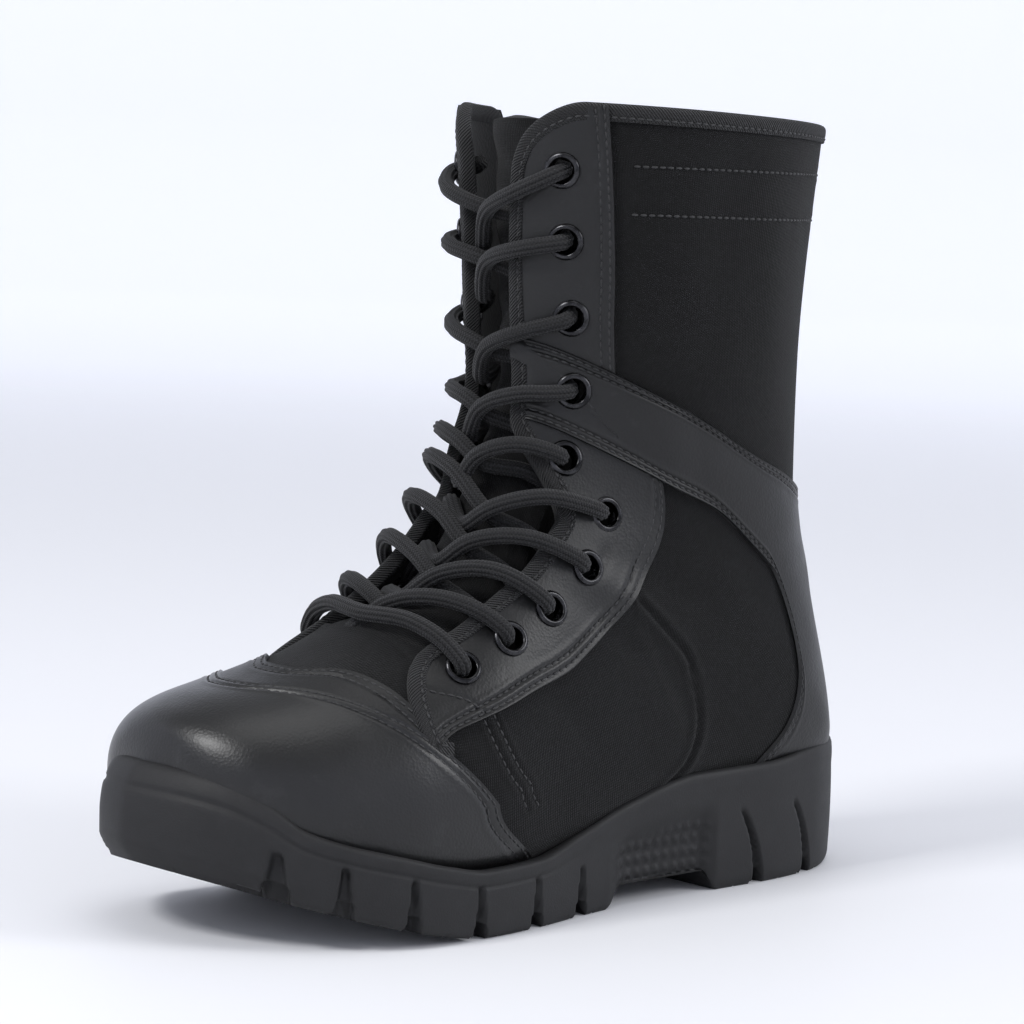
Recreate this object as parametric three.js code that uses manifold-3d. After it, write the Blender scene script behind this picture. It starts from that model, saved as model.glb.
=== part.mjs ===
// Left boot of a pair of black tactical boots: fabric upper with leather overlays, laced front,
// zip and strap on the inner side, and a cupped rubber sole with a lugged tread.
// Millimetres. +X points to the toe, +Y to the outer side, +Z up.
// The origin is the middle of the heel's tread, on the floor.
import * as THREE from 'three';
import { mergeVertices } from 'three/addons/utils/BufferGeometryUtils.js';
import Module from 'manifold-3d';

const wasm = await Module();
wasm.setup();

// Sizes of the boot
const soleLength = 302;
const ballWidth = 114;
const heelBack = 46;      // from the origin back to the end of the sole
const heelHeight = 29;    // floor of the upper above the ground at the heel
const instepHeight = 131; // front of the ankle above the ground
const shaftRise = 139;    // collar above the front of the ankle
const wall = 2.6;         // fabric, foam and lining
const leather = 1.3;      // overlays
const gap = 0.3;          // between pieces that meet
const bindingWidth = 5;
const eyeletInner = 4;
const eyeletOuter = 6.2;
const laceRadius = 2.6;
const tongueThick = 4.5;
const insoleThick = 4;
const soleWall = 1.8;     // how far the lip of the sole is rounded in
const lugDepth = 5;
const lugGroove = 4.5;
const archHeight = 7.5;   // underside of the waist above the ground
const strapThick = 1.7;
const strapLow = 0.583;   // lower and upper edge of the strap, as shares of the shaft's rise
const strapHigh = 0.784;
const zipWidth = 10;
const coilWidth = 4.6;
const coilTop = 1.2;      // above the upper's outside
const pullLength = 22;
const pullWidth = 6.4;

const overlayTop = gap + leather;
const atX = share => share * soleLength - heelBack;
const atZ = rise => rise <= 1 ? rise * instepHeight : instepHeight + (rise - 1) * shaftRise;

// Smooth curve through the rows of a table: the first column is the place, and each other
// column runs from row to row and never swings past them.
function curveOf(rows) {
  const columns = rows[0].length;
  const slopes = rows.map(() => new Array(columns).fill(0));
  for (let c = 1; c < columns; c++) {
    const rate = rows.slice(1).map((row, i) => (row[c] - rows[i][c]) / (row[0] - rows[i][0]));
    slopes[0][c] = rate[0];
    slopes[rows.length - 1][c] = rate[rate.length - 1];
    for (let i = 1; i < rate.length; i++) {
      const product = rate[i - 1] * rate[i];
      slopes[i][c] = product > 0 ? 2 * product / (rate[i - 1] + rate[i]) : 0;
    }
  }
  return place => {
    const x = Math.min(Math.max(place, rows[0][0]), rows[rows.length - 1][0]);
    let i = 0;
    while (i < rows.length - 2 && x > rows[i + 1][0]) i++;
    const width = rows[i + 1][0] - rows[i][0];
    const u = (x - rows[i][0]) / width;
    return rows[i].map((value, c) => c === 0 ? x
      : value * (1 + 2 * u) * (1 - u) ** 2 + rows[i + 1][c] * u * u * (3 - 2 * u)
        + width * (slopes[i][c] * u * (1 - u) ** 2 - slopes[i + 1][c] * u * u * (1 - u)));
  };
}

// The last, as a fan of sections from upright at the toe to level at the collar.
// station: place along the fan. lowX, topX: shares of the length. floor: share of the heel
// height. back, top: rise, where 1 is the front of the ankle and 2 the collar.
// half, mid: half width and middle line, shares of the ball width. widest: where the section
// is widest. under, over: roundness below and above that.
const lastRows = curveOf([
  // station lowX  floor  back   topX   top    half   mid    widest under over
  [0.00,   0.957, 1.38, 0,     0.967, 0.412, 0.070, -0.105, 0.50, 2.0, 2.0],
  [0.04,   0.947, 1.14, 0,     0.957, 0.504, 0.210, -0.105, 0.42, 2.3, 2.1],
  [0.10,   0.917, 0.93, 0,     0.921, 0.557, 0.338, -0.096, 0.38, 2.6, 2.2],
  [0.20,   0.848, 0.66, 0,     0.841, 0.611, 0.430, -0.061, 0.34, 3.2, 2.2],
  [0.30,   0.758, 0.50, 0,     0.752, 0.687, 0.468, -0.018, 0.32, 3.8, 2.1],
  [0.40,   0.656, 0.46, 0,     0.669, 0.817, 0.456, 0.008,  0.32, 4.0, 2.0],
  [0.50,   0.533, 0.57, 0,     0.599, 1.000, 0.412, 0.017,  0.32, 4.0, 1.95],
  [0.60,   0.358, 0.84, 0,     0.563, 1.173, 0.384, 0.009,  0.33, 4.0, 1.95],
  [0.68,   0.185, 1.00, 0,     0.543, 1.295, 0.375, 0.000,  0.36, 3.8, 2.0],
  [0.74,   0.026, 0.00, 0.320, 0.536, 1.388, 0.372, 0.000,  0.45, 2.9, 2.1],
  [0.80,   0.056, 0.00, 0.702, 0.533, 1.496, 0.390, 0.000,  0.50, 2.2, 2.1],
  [0.86,   0.089, 0.00, 1.007, 0.533, 1.626, 0.412, 0.000,  0.52, 2.1, 2.1],
  [0.92,   0.096, 0.00, 1.353, 0.536, 1.770, 0.434, 0.000,  0.52, 2.1, 2.1],
  [1.00,   0.073, 0.00, 1.971, 0.546, 2.000, 0.456, 0.000,  0.52, 2.1, 2.1],
  [1.10,   0.060, 0.00, 2.250, 0.550, 2.250, 0.474, 0.000,  0.52, 2.1, 2.1],
]);

// A point on the last: v runs from the front ridge (0) round the outer side to the back or
// bottom (1), and round the inner side to the same line (-1).
function onLast(station, v) {
  const [, lowX, floor, back, topX, top, half, mid, widest, under, over] = lastRows(station);
  const x0 = atX(lowX), z0 = floor * heelHeight + atZ(back);
  const x1 = atX(topX), z1 = atZ(top);
  const turn = Math.PI * (v > 1 ? v - 2 : v < -1 ? v + 2 : v);
  const up = Math.cos(turn), side = Math.sin(turn);
  const power = 2 / (up >= 0 ? over : under);
  const reach = Math.abs(up) ** power;
  const s = up >= 0 ? widest + (1 - widest) * reach : widest * (1 - reach);
  const y = mid * ballWidth + Math.sign(side) * half * ballWidth * Math.abs(side) ** power;
  return new THREE.Vector3(x0 + (x1 - x0) * s, y, z0 + (z1 - z0) * s);
}

// The same point moved out from the last by a distance, along the surface's own direction.
function skin(station, v, out = 0) {
  const point = onLast(station, v);
  if (out === 0) return point;
  const t0 = Math.max(station - 0.01, 0), t1 = Math.min(station + 0.01, 1.1);
  const along = onLast(t1, v).sub(onLast(t0, v));
  const across = onLast(station, v + 0.012).sub(onLast(station, v - 0.012));
  return point.addScaledVector(across.cross(along).normalize(), out);
}

// A closed solid from points and triangles.
function solidOf(points, triangles) {
  const mesh = new wasm.Mesh({
    numProp: 3,
    vertProperties: new Float32Array(points.flatMap(p => [p.x, p.y, p.z])),
    triVerts: new Uint32Array(triangles.flat()),
  });
  mesh.merge();
  return new wasm.Manifold(mesh);
}

function solidFrom(geometry) {
  geometry.deleteAttribute('normal');
  geometry.deleteAttribute('uv');
  const merged = mergeVertices(geometry, 1e-4);
  return new wasm.Manifold(new wasm.Mesh({
    numProp: 3,
    vertProperties: new Float32Array(merged.attributes.position.array),
    triVerts: new Uint32Array(merged.index.array),
  }));
}

const allOf = solids => solids.reduce((a, b) => a.add(b));

function facingOut(points, triangles) {
  const solid = solidOf(points, triangles);
  return solid.volume() < 0 ? solidOf(points, triangles.map(([a, b, c]) => [a, c, b])) : solid;
}

// A closed plate between two grids of points, one above the other.
function plate(layers, long, wide) {
  const points = layers.flat(), triangles = [], step = wide + 1, layer = layers[0].length;
  for (let i = 0; i < long; i++) {
    for (let j = 0; j < wide; j++) {
      const a = i * step + j;
      triangles.push([a, a + step, a + step + 1], [a, a + step + 1, a + 1]);
      triangles.push([a + layer, a + layer + step + 1, a + layer + step],
        [a + layer, a + layer + 1, a + layer + step + 1]);
    }
  }
  const rim = [];
  for (let j = 0; j < wide; j++) rim.push(j);
  for (let i = 0; i < long; i++) rim.push(i * step + wide);
  for (let j = wide; j > 0; j--) rim.push(long * step + j);
  for (let i = long; i > 0; i--) rim.push(i * step);
  rim.forEach((a, k) => {
    const b = rim[(k + 1) % rim.length];
    triangles.push([a, b, b + layer], [a, b + layer, a + layer]);
  });
  return facingOut(points, triangles);
}

// The whole last grown by a distance. Every one has its corners on the same lines, so that
// two of them are the same distance apart all over. The collar end can stand higher.
const stations = [0, 0.022, 0.055, 0.10, 0.15, 0.205, 0.26, 0.315, 0.37, 0.43, 0.49, 0.55, 0.605,
  0.65, 0.685, 0.715, 0.745, 0.78, 0.825, 0.88, 0.94, 1];
const around = 24;
function form(out, past = 0) {
  const rings = (past ? [...stations, 1 + past] : stations)
    .map(t => Array.from({ length: around }, (_, j) => skin(t, 2 * j / around - 1, out)));
  const points = rings.flat(), triangles = [];
  for (let i = 0; i + 1 < rings.length; i++) {
    for (let j = 0; j < around; j++) {
      const a = i * around + j, b = i * around + (j + 1) % around;
      triangles.push([a, b, b + around], [a, b + around, a + around]);
    }
  }
  for (const [ring, flip] of [[0, true], [rings.length - 1, false]]) {
    const centre = rings[ring].reduce((sum, p) => sum.add(p), new THREE.Vector3()).divideScalar(around);
    points.push(centre);
    for (let j = 0; j < around; j++) {
      const a = ring * around + j, b = ring * around + (j + 1) % around, c = points.length - 1;
      triangles.push(flip ? [b, a, c] : [a, b, c]);
    }
  }
  return solidOf(points, triangles);
}

// A thick patch of the last between two lines, each a function of a share of its length that
// gives [station, v]. It is grown on all four sides by a distance, and is the tool that cuts
// openings and overlays.
function patch(lineA, lineB, { grow = 0, low = -8, high = 9, long = 14, wide = 4 } = {}) {
  const layers = [low, high].map(out => {
    const rows = [];
    for (let i = 0; i <= long; i++) {
      const a = lineA(i / long), b = lineB(i / long), row = [];
      for (let j = 0; j <= wide; j++) {
        const w = j / wide;
        row.push(skin(a[0] + (b[0] - a[0]) * w, a[1] + (b[1] - a[1]) * w, out));
      }
      rows.push(row);
    }
    if (grow) {
      // Each edge moves square to its own line, within the surface.
      const moves = [];
      const push = (at, before, after, inner) => {
        const run = after.clone().sub(before), inward = inner.clone().sub(at);
        const side = inward.addScaledVector(run, -inward.dot(run) / run.lengthSq()).normalize();
        moves.push([at, side.multiplyScalar(-grow)]);
      };
      for (let i = 0; i <= long; i++) {
        const before = rows[Math.max(i - 1, 0)], after = rows[Math.min(i + 1, long)];
        push(rows[i][0], before[0], after[0], rows[i][1]);
        push(rows[i][wide], before[wide], after[wide], rows[i][wide - 1]);
      }
      for (let j = 0; j <= wide; j++) {
        const left = Math.max(j - 1, 0), right = Math.min(j + 1, wide);
        push(rows[0][j], rows[0][left], rows[0][right], rows[1][j]);
        push(rows[long][j], rows[long][left], rows[long][right], rows[long - 1][j]);
      }
      for (const [at, move] of moves) at.add(move);
    }
    return rows.flat();
  });
  return plate(layers, long, wide);
}

const lineFrom = rows => {
  const curve = curveOf(rows.map((row, i) => [i / (rows.length - 1), ...row]));
  return share => curve(share).slice(1);
};

// The throat: edges of the front opening on the outer (v > 0) and inner side. It is round at
// the collar and the toe end, and has a notch where the ankle bends.
const throatRows = [
  // station outer inner
  [1.03,  0.26, -0.30],
  [1.00,  0.20, -0.25],
  [0.985, 0.110, -0.185],
  [0.965, 0.065, -0.150],
  [0.94,  0.045, -0.135],
  [0.88,  0.040, -0.130],
  [0.78,  0.055, -0.135],
  [0.70,  0.078, -0.140],
  [0.655, 0.096, -0.145],
  [0.642, 0.120, -0.158],
  [0.628, 0.225, -0.222],
  [0.61,  0.250, -0.235],
  [0.573, 0.245, -0.215],
  [0.53,  0.237, -0.205],
  [0.45,  0.205, -0.180],
  [0.40,  0.190, -0.165],
  [0.362, 0.170, -0.145],
  [0.346, 0.120, -0.095],
].reverse();
const throatAt = curveOf(throatRows);
const throatSteps = share => {
  const rows = [0.346, 0.351, 0.362, 0.38, 0.4, 0.425, 0.45, 0.49, 0.53, 0.573, 0.61, 0.628, 0.635, 0.642, 0.655,
    0.7, 0.78, 0.83, 0.88, 0.92, 0.94, 0.955, 0.965, 0.975, 0.985, 1, 1.03];
  return rows[Math.round(share * (rows.length - 1))];
};
const throatLong = 26;
const throatCut = grow => patch(
  share => [throatSteps(share), throatAt(throatSteps(share))[2]],
  share => [throatSteps(share), throatAt(throatSteps(share))[1]],
  { grow, low: -9, high: 9, long: throatLong, wide: 4 });

// The zip runs down the inner side from a dip in the collar to the ankle.
const zipLine = curveOf([
  // station v
  [0.69, -0.455],
  [0.74, -0.418],
  [0.80, -0.422],
  [0.90, -0.440],
  [1.00, -0.455],
]);
const zipTop = 0.972;
const zipBottom = 0.69;
const between = (from, to) => share => from + (to - from) * share;
const zipStrip = (width, from, to, options) => {
  const steps = [from, ...[...stations, 0.70, zipTop].filter(t => t > from + 0.002 && t < to - 0.002).sort(), to];
  const station = options.long ? between(from, to) : share => steps[Math.round(share * (steps.length - 1))];
  const shift = side => share => {
    const t = station(share), v = zipLine(t)[1];
    const perUnit = skin(t, v + 0.02).distanceTo(skin(t, v - 0.02)) / 0.04;
    return [t, v + side * width(share) / 2 / perUnit];
  };
  return patch(shift(-1), shift(1), { long: steps.length - 1, wide: 2, ...options });
};

const outer = form(0);
const underside = patch(share => [0.09 + 0.61 * share, 0.86], share => [0.09 + 0.61 * share, 1.14],
  { low: -9, high: 9 });
const zipSlot = zipStrip(() => zipWidth, zipBottom, 1.05, { low: -7, high: 7 });
const zipDip = (grow = 0) => zipStrip(share => zipWidth + 26 * share ** 1.6, zipTop, 1.02,
  { low: -7, high: 9, long: 8, grow });

// Eyelets in a row down each side of the throat, from the collar to the toe end.
const eyeletRows = [
  // outer station, v  inner station, v
  [0.950, 0.156, 0.955, -0.238],
  [0.893, 0.167, 0.905, -0.240],
  [0.823, 0.186, 0.838, -0.246],
  [0.750, 0.194, 0.773, -0.250],
  [0.670, 0.206, 0.703, -0.252],
  [0.667, 0.294, 0.667, -0.300],
  [0.603, 0.314, 0.597, -0.302],
  [0.530, 0.306, 0.522, -0.290],
  [0.458, 0.281, 0.452, -0.268],
  [0.385, 0.256, 0.380, -0.245],
];
const eyeletSides = 8;

// A frame on the upper: z stands out from the surface, and y points down the boot.
function frameAt(station, v, out = 0) {
  const origin = skin(station, v, out);
  const z = skin(station, v, 1).sub(skin(station, v, 0)).normalize();
  const y = skin(station - 0.01, v).sub(skin(station + 0.01, v));
  y.addScaledVector(z, -y.dot(z)).normalize();
  return new THREE.Matrix4().makeBasis(y.clone().cross(z), y, z).setPosition(origin);
}
const eyelets = eyeletRows.flatMap(([outerStation, outerV, innerStation, innerV], i) => [
  { name: `eyelet_outer_${i + 1}`, frame: frameAt(outerStation, outerV) },
  { name: `eyelet_inner_${i + 1}`, frame: frameAt(innerStation, innerV) },
]);
const turned = (profile, frame) => solidFrom(new THREE.LatheGeometry(
  profile.map(([r, h]) => new THREE.Vector2(r, h)), eyeletSides).rotateX(Math.PI / 2).applyMatrix4(frame));
const holeRadius = eyeletInner + 1.1;
const holes = allOf(eyelets.map(({ frame }) => turned(
  [[0, -12], [holeRadius, -12], [holeRadius, 12], [0, 12]], frame)));
const flangeFoot = overlayTop + 2 * gap;
const eyeletProfile = [
  [eyeletInner, -wall - gap], [eyeletInner + 0.6, -wall - gap], [eyeletInner + 0.6, flangeFoot],
  [eyeletOuter, flangeFoot], [eyeletInner, flangeFoot + 1.2],
  [eyeletInner, -wall - gap],
];

const upper = outer.subtract(form(-wall, 0.06)).subtract(underside).subtract(throatCut(0))
  .subtract(zipSlot).subtract(zipDip()).subtract(holes);

// Plan of the sole, and the heights of its lip and tread.
const soleRows = curveOf([
  // along outer  inner   lip   lean tread
  [0.000, 0.008, -0.008, 46.5, 2.5, 1.6],
  [0.006, 0.130, -0.130, 46.5, 2.5, 1.4],
  [0.026, 0.220, -0.220, 46.3, 2.4, 0.8],
  [0.060, 0.290, -0.290, 46.0, 2.2, 0.2],
  [0.110, 0.345, -0.335, 45.5, 2.0, 0],
  [0.200, 0.380, -0.360, 43.0, 1.8, 0],
  [0.320, 0.388, -0.352, 42.5, 1.8, 0],
  [0.430, 0.400, -0.348, 36.0, 1.8, 0],
  [0.520, 0.436, -0.362, 28.5, 1.8, 0],
  [0.600, 0.480, -0.402, 23.0, 1.8, 0],
  [0.680, 0.504, -0.448, 22.5, 1.8, 0.2],
  [0.740, 0.508, -0.478, 25.5, 1.8, 2.6],
  [0.800, 0.488, -0.496, 30.0, 2.0, 6.6],
  [0.855, 0.430, -0.496, 34.0, 2.6, 11.0],
  [0.895, 0.360, -0.470, 38.5, 3.6, 14.6],
  [0.925, 0.290, -0.432, 46.5, 4.8, 17.6],
  [0.955, 0.196, -0.372, 52.5, 6.0, 20.6],
  [0.980, 0.086, -0.286, 55.0, 7.0, 23.0],
  [0.994, -0.020, -0.190, 55.6, 7.4, 24.4],
  [1.000, -0.104, -0.120, 55.8, 7.5, 24.8],
]);
// Wall of the sole from the tread up: height is a share from tread to lip, out is the distance
// beyond the plan and lean is how far it follows the table's lean.
const soleWallRows = [
  // height out  lean
  [0.00, -2.6, 0.0],
  [0.10, -1.0, 0.0],
  [0.45, 0.0, 0.0],
  [0.80, -0.2, 0.25],
  [0.94, -0.6, 0.75],
  [1.00, -soleWall, 1.0],
];
const soleStations = Array.from({ length: 21 }, (_, i) => (1 - Math.cos(Math.PI * i / 20)) / 2);
function soleBlock(grow = 0) {
  const plan = side => soleStations.map(share => {
    const row = soleRows(share);
    return { share, x: atX(share), y: (side > 0 ? row[1] : row[2]) * ballWidth, row };
  });
  const outerSide = plan(1), innerSide = plan(-1).reverse();
  const loop = [...outerSide, ...innerSide];
  const count = loop.length;
  const normals = loop.map((p, k) => {
    const a = loop[(k + count - 1) % count], b = loop[(k + 1) % count];
    return new THREE.Vector2(b.y - a.y, a.x - b.x).normalize();
  });
  const points = [], triangles = [];
  for (const [height, out, lean] of soleWallRows) {
    loop.forEach((p, k) => {
      const move = out + grow - lean * (p.row[4] - soleWall);
      const z = p.row[5] + height * (p.row[3] - p.row[5]) + (height === 1 ? grow : 0);
      points.push(new THREE.Vector3(p.x - normals[k].x * move, p.y - normals[k].y * move, z));
    });
  }
  const rings = soleWallRows.length;
  for (let i = 0; i + 1 < rings; i++) {
    for (let k = 0; k < count; k++) {
      const a = i * count + k, b = i * count + (k + 1) % count;
      triangles.push([a, b + count, b], [a, a + count, b + count]);
    }
  }
  for (const [base, flip] of [[0, true], [(rings - 1) * count, false]]) {
    for (let k = 0; k + 1 < count / 2; k++) {
      const a = base + k, b = base + k + 1, c = base + count - 2 - k, d = base + count - 1 - k;
      const faces = [[a, b, c], [a, c, d]];
      faces.forEach(([p, q, r]) => triangles.push(flip ? [p, q, r] : [p, r, q]));
    }
  }
  return facingOut(points, triangles);
}

// A bar across the sole with a given outline from the side (x, z), and a groove in its edge.
const acrossSole = (outline, width = 300) => solidFrom(new THREE.ExtrudeGeometry(
  new THREE.Shape(outline.map(([x, z]) => new THREE.Vector2(x, z))),
  { depth: width, bevelEnabled: false }).rotateX(Math.PI / 2).translate(0, width / 2, 0));
const waist = acrossSole([[atX(0.281), -9], [atX(0.286), 0], [atX(0.309), archHeight],
  [atX(0.446), archHeight], [atX(0.470), 0], [atX(0.474), -9]]);

// Grooves between the lugs, as shares of the length. turn is the angle across the sole.
const grooveRows = [
  // along side turn
  [0.905, 1, 14], [0.858, 1, 10], [0.788, 1, 6], [0.695, 1, 0], [0.603, 1, -4], [0.522, 1, -8],
  [0.905, -1, 14], [0.850, -1, 10], [0.776, -1, 6], [0.690, -1, 0], [0.600, -1, -4], [0.522, -1, -8],
  [0.212, 1, 6], [0.112, 1, 10], [0.212, -1, 6], [0.112, -1, 10],
];
const grooveInset = 9;    // half width of the rib left along the middle of the tread
const grooves = allOf(grooveRows.map(([along, side, turn]) => {
  const tread = soleRows(along)[5];
  return solidFrom(new THREE.BoxGeometry(lugGroove, 0.8 * ballWidth, 4 * lugDepth)
    .rotateZ(side * turn * Math.PI / 180)
    .translate(atX(along), side * (0.4 * ballWidth + grooveInset), tread - lugDepth));
}));
// Slanting grooves up the wall of the heel.
const heelGrooves = allOf([[0.200, 1], [0.110, 1], [0.200, -1], [0.110, -1]].map(([along, side]) => {
  const row = soleRows(along), lean = 0.38;
  const y = (side > 0 ? row[1] : row[2]) * ballWidth;
  const slope = side * (soleRows(along + 0.02)[1] - soleRows(along - 0.02)[1]) * ballWidth
    / (0.04 * soleLength);
  return solidFrom(new THREE.BoxGeometry(3.6, 8, 34)
    .rotateY(lean).rotateZ(Math.atan(slope))
    .translate(atX(along) + 4, y + side * 2.2, 14));
}));

const block = soleBlock();
const sole = block.subtract(form(gap)).subtract(waist).subtract(grooves).subtract(heelGrooves);

const tongueDeep = curveOf([
  // station depth below the upper's outside
  [0.300, wall + 1.2],
  [0.335, wall + 3.6],
  [0.365, wall + 7.2],
  [0.430, wall + 7.6],
  [1.000, wall + 7.6],
]);
const tongueLong = 16, tongueWide = 6;
function tongueSolid() {
  const layers = [0, tongueThick].map(deeper => {
    const rows = [];
    for (let i = 0; i <= tongueLong; i++) {
      const t = 0.30 + 0.685 * i / tongueLong;
      for (let j = 0; j <= tongueWide; j++) {
        const v = (-0.25 + 0.51 * j / tongueWide) * Math.min(1, 0.7 + 0.5 * (1 - t));
        rows.push(skin(t, v, -tongueDeep(t)[1] - deeper));
      }
    }
    return rows;
  });
  return plate(layers, tongueLong, tongueWide);
}

const insole = form(-wall - gap).subtract(form(-wall - gap - insoleThick))
  .intersect(patch(share => [0.03 + 0.68 * share, 0.80], share => [0.03 + 0.68 * share, 1.20],
    { wide: 4, low: -14, high: 9 }));

// Overlays are cut from one thin shell round the upper, and stop at the lip of the sole.
const shell = form(overlayTop).subtract(form(gap, 0.06)).subtract(soleBlock(gap));
const mirrored = rows => [...rows.slice().reverse().map(([v, t]) => [-v, t]), ...rows.slice(rows[0][0] ? 0 : 1)];

// Rear edges of the toe cap and of the narrow band behind it, from the middle outwards.
const toeEdge = curveOf(mirrored([
  // v    station
  [0, 0.148], [0.06, 0.168], [0.106, 0.195], [0.192, 0.238], [0.292, 0.285], [0.383, 0.330],
  [0.458, 0.375], [0.511, 0.415], [0.581, 0.438], [0.70, 0.458], [0.85, 0.48],
]));
const bandEdge = curveOf(mirrored([
  // v    station
  [0, 0.205], [0.05, 0.232], [0.11, 0.266], [0.20, 0.290], [0.28, 0.308], [0.34, 0.326], [0.37, 0.338],
]));
const acrossToe = (curve, reach, move = 0) => share => {
  const v = reach * (2 * share - 1);
  return [curve(v)[1] + move, v];
};
const noseX = skin(0.07, 0).x;
const toeCut = grow => patch(share => [0.05, 0.85 * (2 * share - 1)], acrossToe(toeEdge, 0.85),
  { long: 24, wide: 4, grow }).add(solidFrom(new THREE.BoxGeometry(soleLength / 5, 1.3 * ballWidth, instepHeight)
    .translate(noseX + soleLength / 10, 0, instepHeight / 2)));
const toeCap = shell.intersect(toeCut(0));

// The diagonal band and the heel counter: upper and lower edge from the outer throat round
// the back, where v passes 1, to the end behind the zip.
const bandRows = [
  // upper station, v    lower station, v
  [0.772, 0.030, 0.662, 0.030],
  [0.780, 0.130, 0.690, 0.170],
  [0.795, 0.267, 0.740, 0.342],
  [0.815, 0.422, 0.768, 0.478],
  [0.832, 0.560, 0.771, 0.560],
  [0.845, 0.660, 0.753, 0.604],
  [0.852, 0.740, 0.722, 0.590],
  [0.857, 0.820, 0.695, 0.640],
  [0.859, 0.900, 0.675, 0.740],
  [0.860, 1.000, 0.660, 1.000],
];
const wrapped = [...bandRows, ...bandRows.slice(3, -1).reverse().map(([a, b, c, d]) => [a, 2 - b, c, 2 - d])];
const bandCut = grow => patch(lineFrom(wrapped.map(r => [r[0], r[1]])), lineFrom(wrapped.map(r => [r[2], r[3]])),
  { grow, long: 24, wide: 5, low: -6 });

// Front edges of the two quarters, from the throat down to the toe cap.
const quarterFront = [
  // station v
  [0.334, 0.120], [0.326, 0.175], [0.312, 0.225], [0.303, 0.275], [0.301, 0.325], [0.308, 0.372],
];
const quarterBack = [
  [0.352, 0.120], [0.346, 0.185], [0.331, 0.235], [0.320, 0.285], [0.318, 0.332], [0.326, 0.385],
];
const flip = rows => rows.map(([t, v]) => [t, -v]);
const quarterEdges = grow => patch(lineFrom(quarterFront), lineFrom(quarterBack), { grow, long: 10, wide: 2 })
  .add(patch(lineFrom(flip(quarterFront)), lineFrom(flip(quarterBack)), { grow, long: 10, wide: 2 }));

const collarStrip = grow => {
  const half = (from, to) => patch(share => {
    const v = from + (to - from) * share;
    return [1 - 0.03 * (bindingWidth + 2 + grow) / skin(1, v).distanceTo(skin(0.97, v)), v];
  }, share => [1.03, from + (to - from) * share], { long: 12, wide: 2 });
  return half(-1.03, 0.03).add(half(-0.03, 1.03));
};
const bindingCut = grow => throatCut(bindingWidth + grow).add(quarterEdges(grow)).add(collarStrip(grow))
  .add(zipDip(bindingWidth + grow));
const binding = shell.intersect(bindingCut(0)).subtract(throatCut(0)).subtract(zipDip()).subtract(zipSlot)
  .subtract(toeCut(gap));

const vampBand = shell.intersect(
  patch(acrossToe(toeEdge, 0.31, -0.02), acrossToe(bandEdge, 0.31), { long: 20, wide: 3 }))
  .subtract(toeCut(gap)).subtract(bindingCut(gap));

const stayRear = [
  // station v, up the rear edge of the outer side's facing
  [0.330, 0.344], [0.390, 0.354], [0.453, 0.369], [0.540, 0.392], [0.600, 0.390], [0.630, 0.386],
  [0.693, 0.367], [0.740, 0.350], [0.752, 0.348],
];
const stayFront = [
  [0.352, 0.100], [0.390, 0.150], [0.453, 0.180], [0.540, 0.210], [0.600, 0.220], [0.640, 0.080],
  [0.660, 0.060], [0.675, 0.050], [0.685, 0.045],
];
const trim = solid => solid.subtract(bindingCut(gap)).subtract(holes);
const stayLower = trim(shell.intersect(patch(lineFrom(stayFront), lineFrom(stayRear), { long: 18, low: -6 })))
  .subtract(bandCut(gap));
const stayUpper = trim(shell.intersect(patch(
  lineFrom([[0.765, 0.020], [0.85, 0.020], [0.93, 0.020], [1.01, 0.020]]),
  lineFrom([[0.790, 0.272], [0.86, 0.268], [0.92, 0.259], [1.01, 0.238]]),
  { long: 14, low: -6 }))).subtract(bandCut(gap));
const stayInner = trim(shell.intersect(patch(
  lineFrom([...flip(stayFront.slice(0, 7)), [0.74, -0.06], [0.82, -0.06], [0.92, -0.06], [1.01, -0.06]]),
  lineFrom([...flip(stayRear.slice(0, 7)), [0.745, -0.330], [0.82, -0.312], [0.92, -0.300], [1.01, -0.288]]),
  { long: 30, low: -6 })));
const heelBand = trim(shell.intersect(bandCut(0))).subtract(zipStrip(() => zipWidth + 3, 0.67, 1, { long: 8 }));

// The zip: two tapes and the closed coil, its slider and its pull.
const tapes = zipStrip(() => zipWidth - 2 * gap, zipBottom + 0.01, zipTop - 0.003,
  { low: -2.2, high: -0.5 });
const coil = zipStrip(() => coilWidth, zipBottom + 0.015, zipTop - 0.006, { low: -1.4, high: coilTop });
const zip = tapes.add(coil);
const sliderAt = frameAt(0.966, zipLine(0.966)[1]);
const boxIn = (frame, size, at) => solidFrom(new THREE.BoxGeometry(...size).translate(...at).applyMatrix4(frame));
const sliderTop = coilTop + gap + 1.2;
const hingeOut = sliderTop + 1.5;
const slider = boxIn(sliderAt, [8, 9.5, 1.2], [0, 0, coilTop + gap + 0.6])
  .add(boxIn(sliderAt, [1.8, 7, 3.4], [0, 0, sliderTop + 1.4]))
  .subtract(boxIn(sliderAt, [4, 3.6, 1.9], [0, 0, hingeOut]));
const pullAt = sliderAt.clone()
  .multiply(new THREE.Matrix4().makeTranslation(0, 0, hingeOut))
  .multiply(new THREE.Matrix4().makeRotationX(-0.075));
const pull = boxIn(pullAt, [pullWidth, pullLength, 1], [0, pullLength / 2 - 0.5, 0])
  .subtract(boxIn(pullAt, [3.4, 9, 4], [0, 5, 0]));

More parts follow.
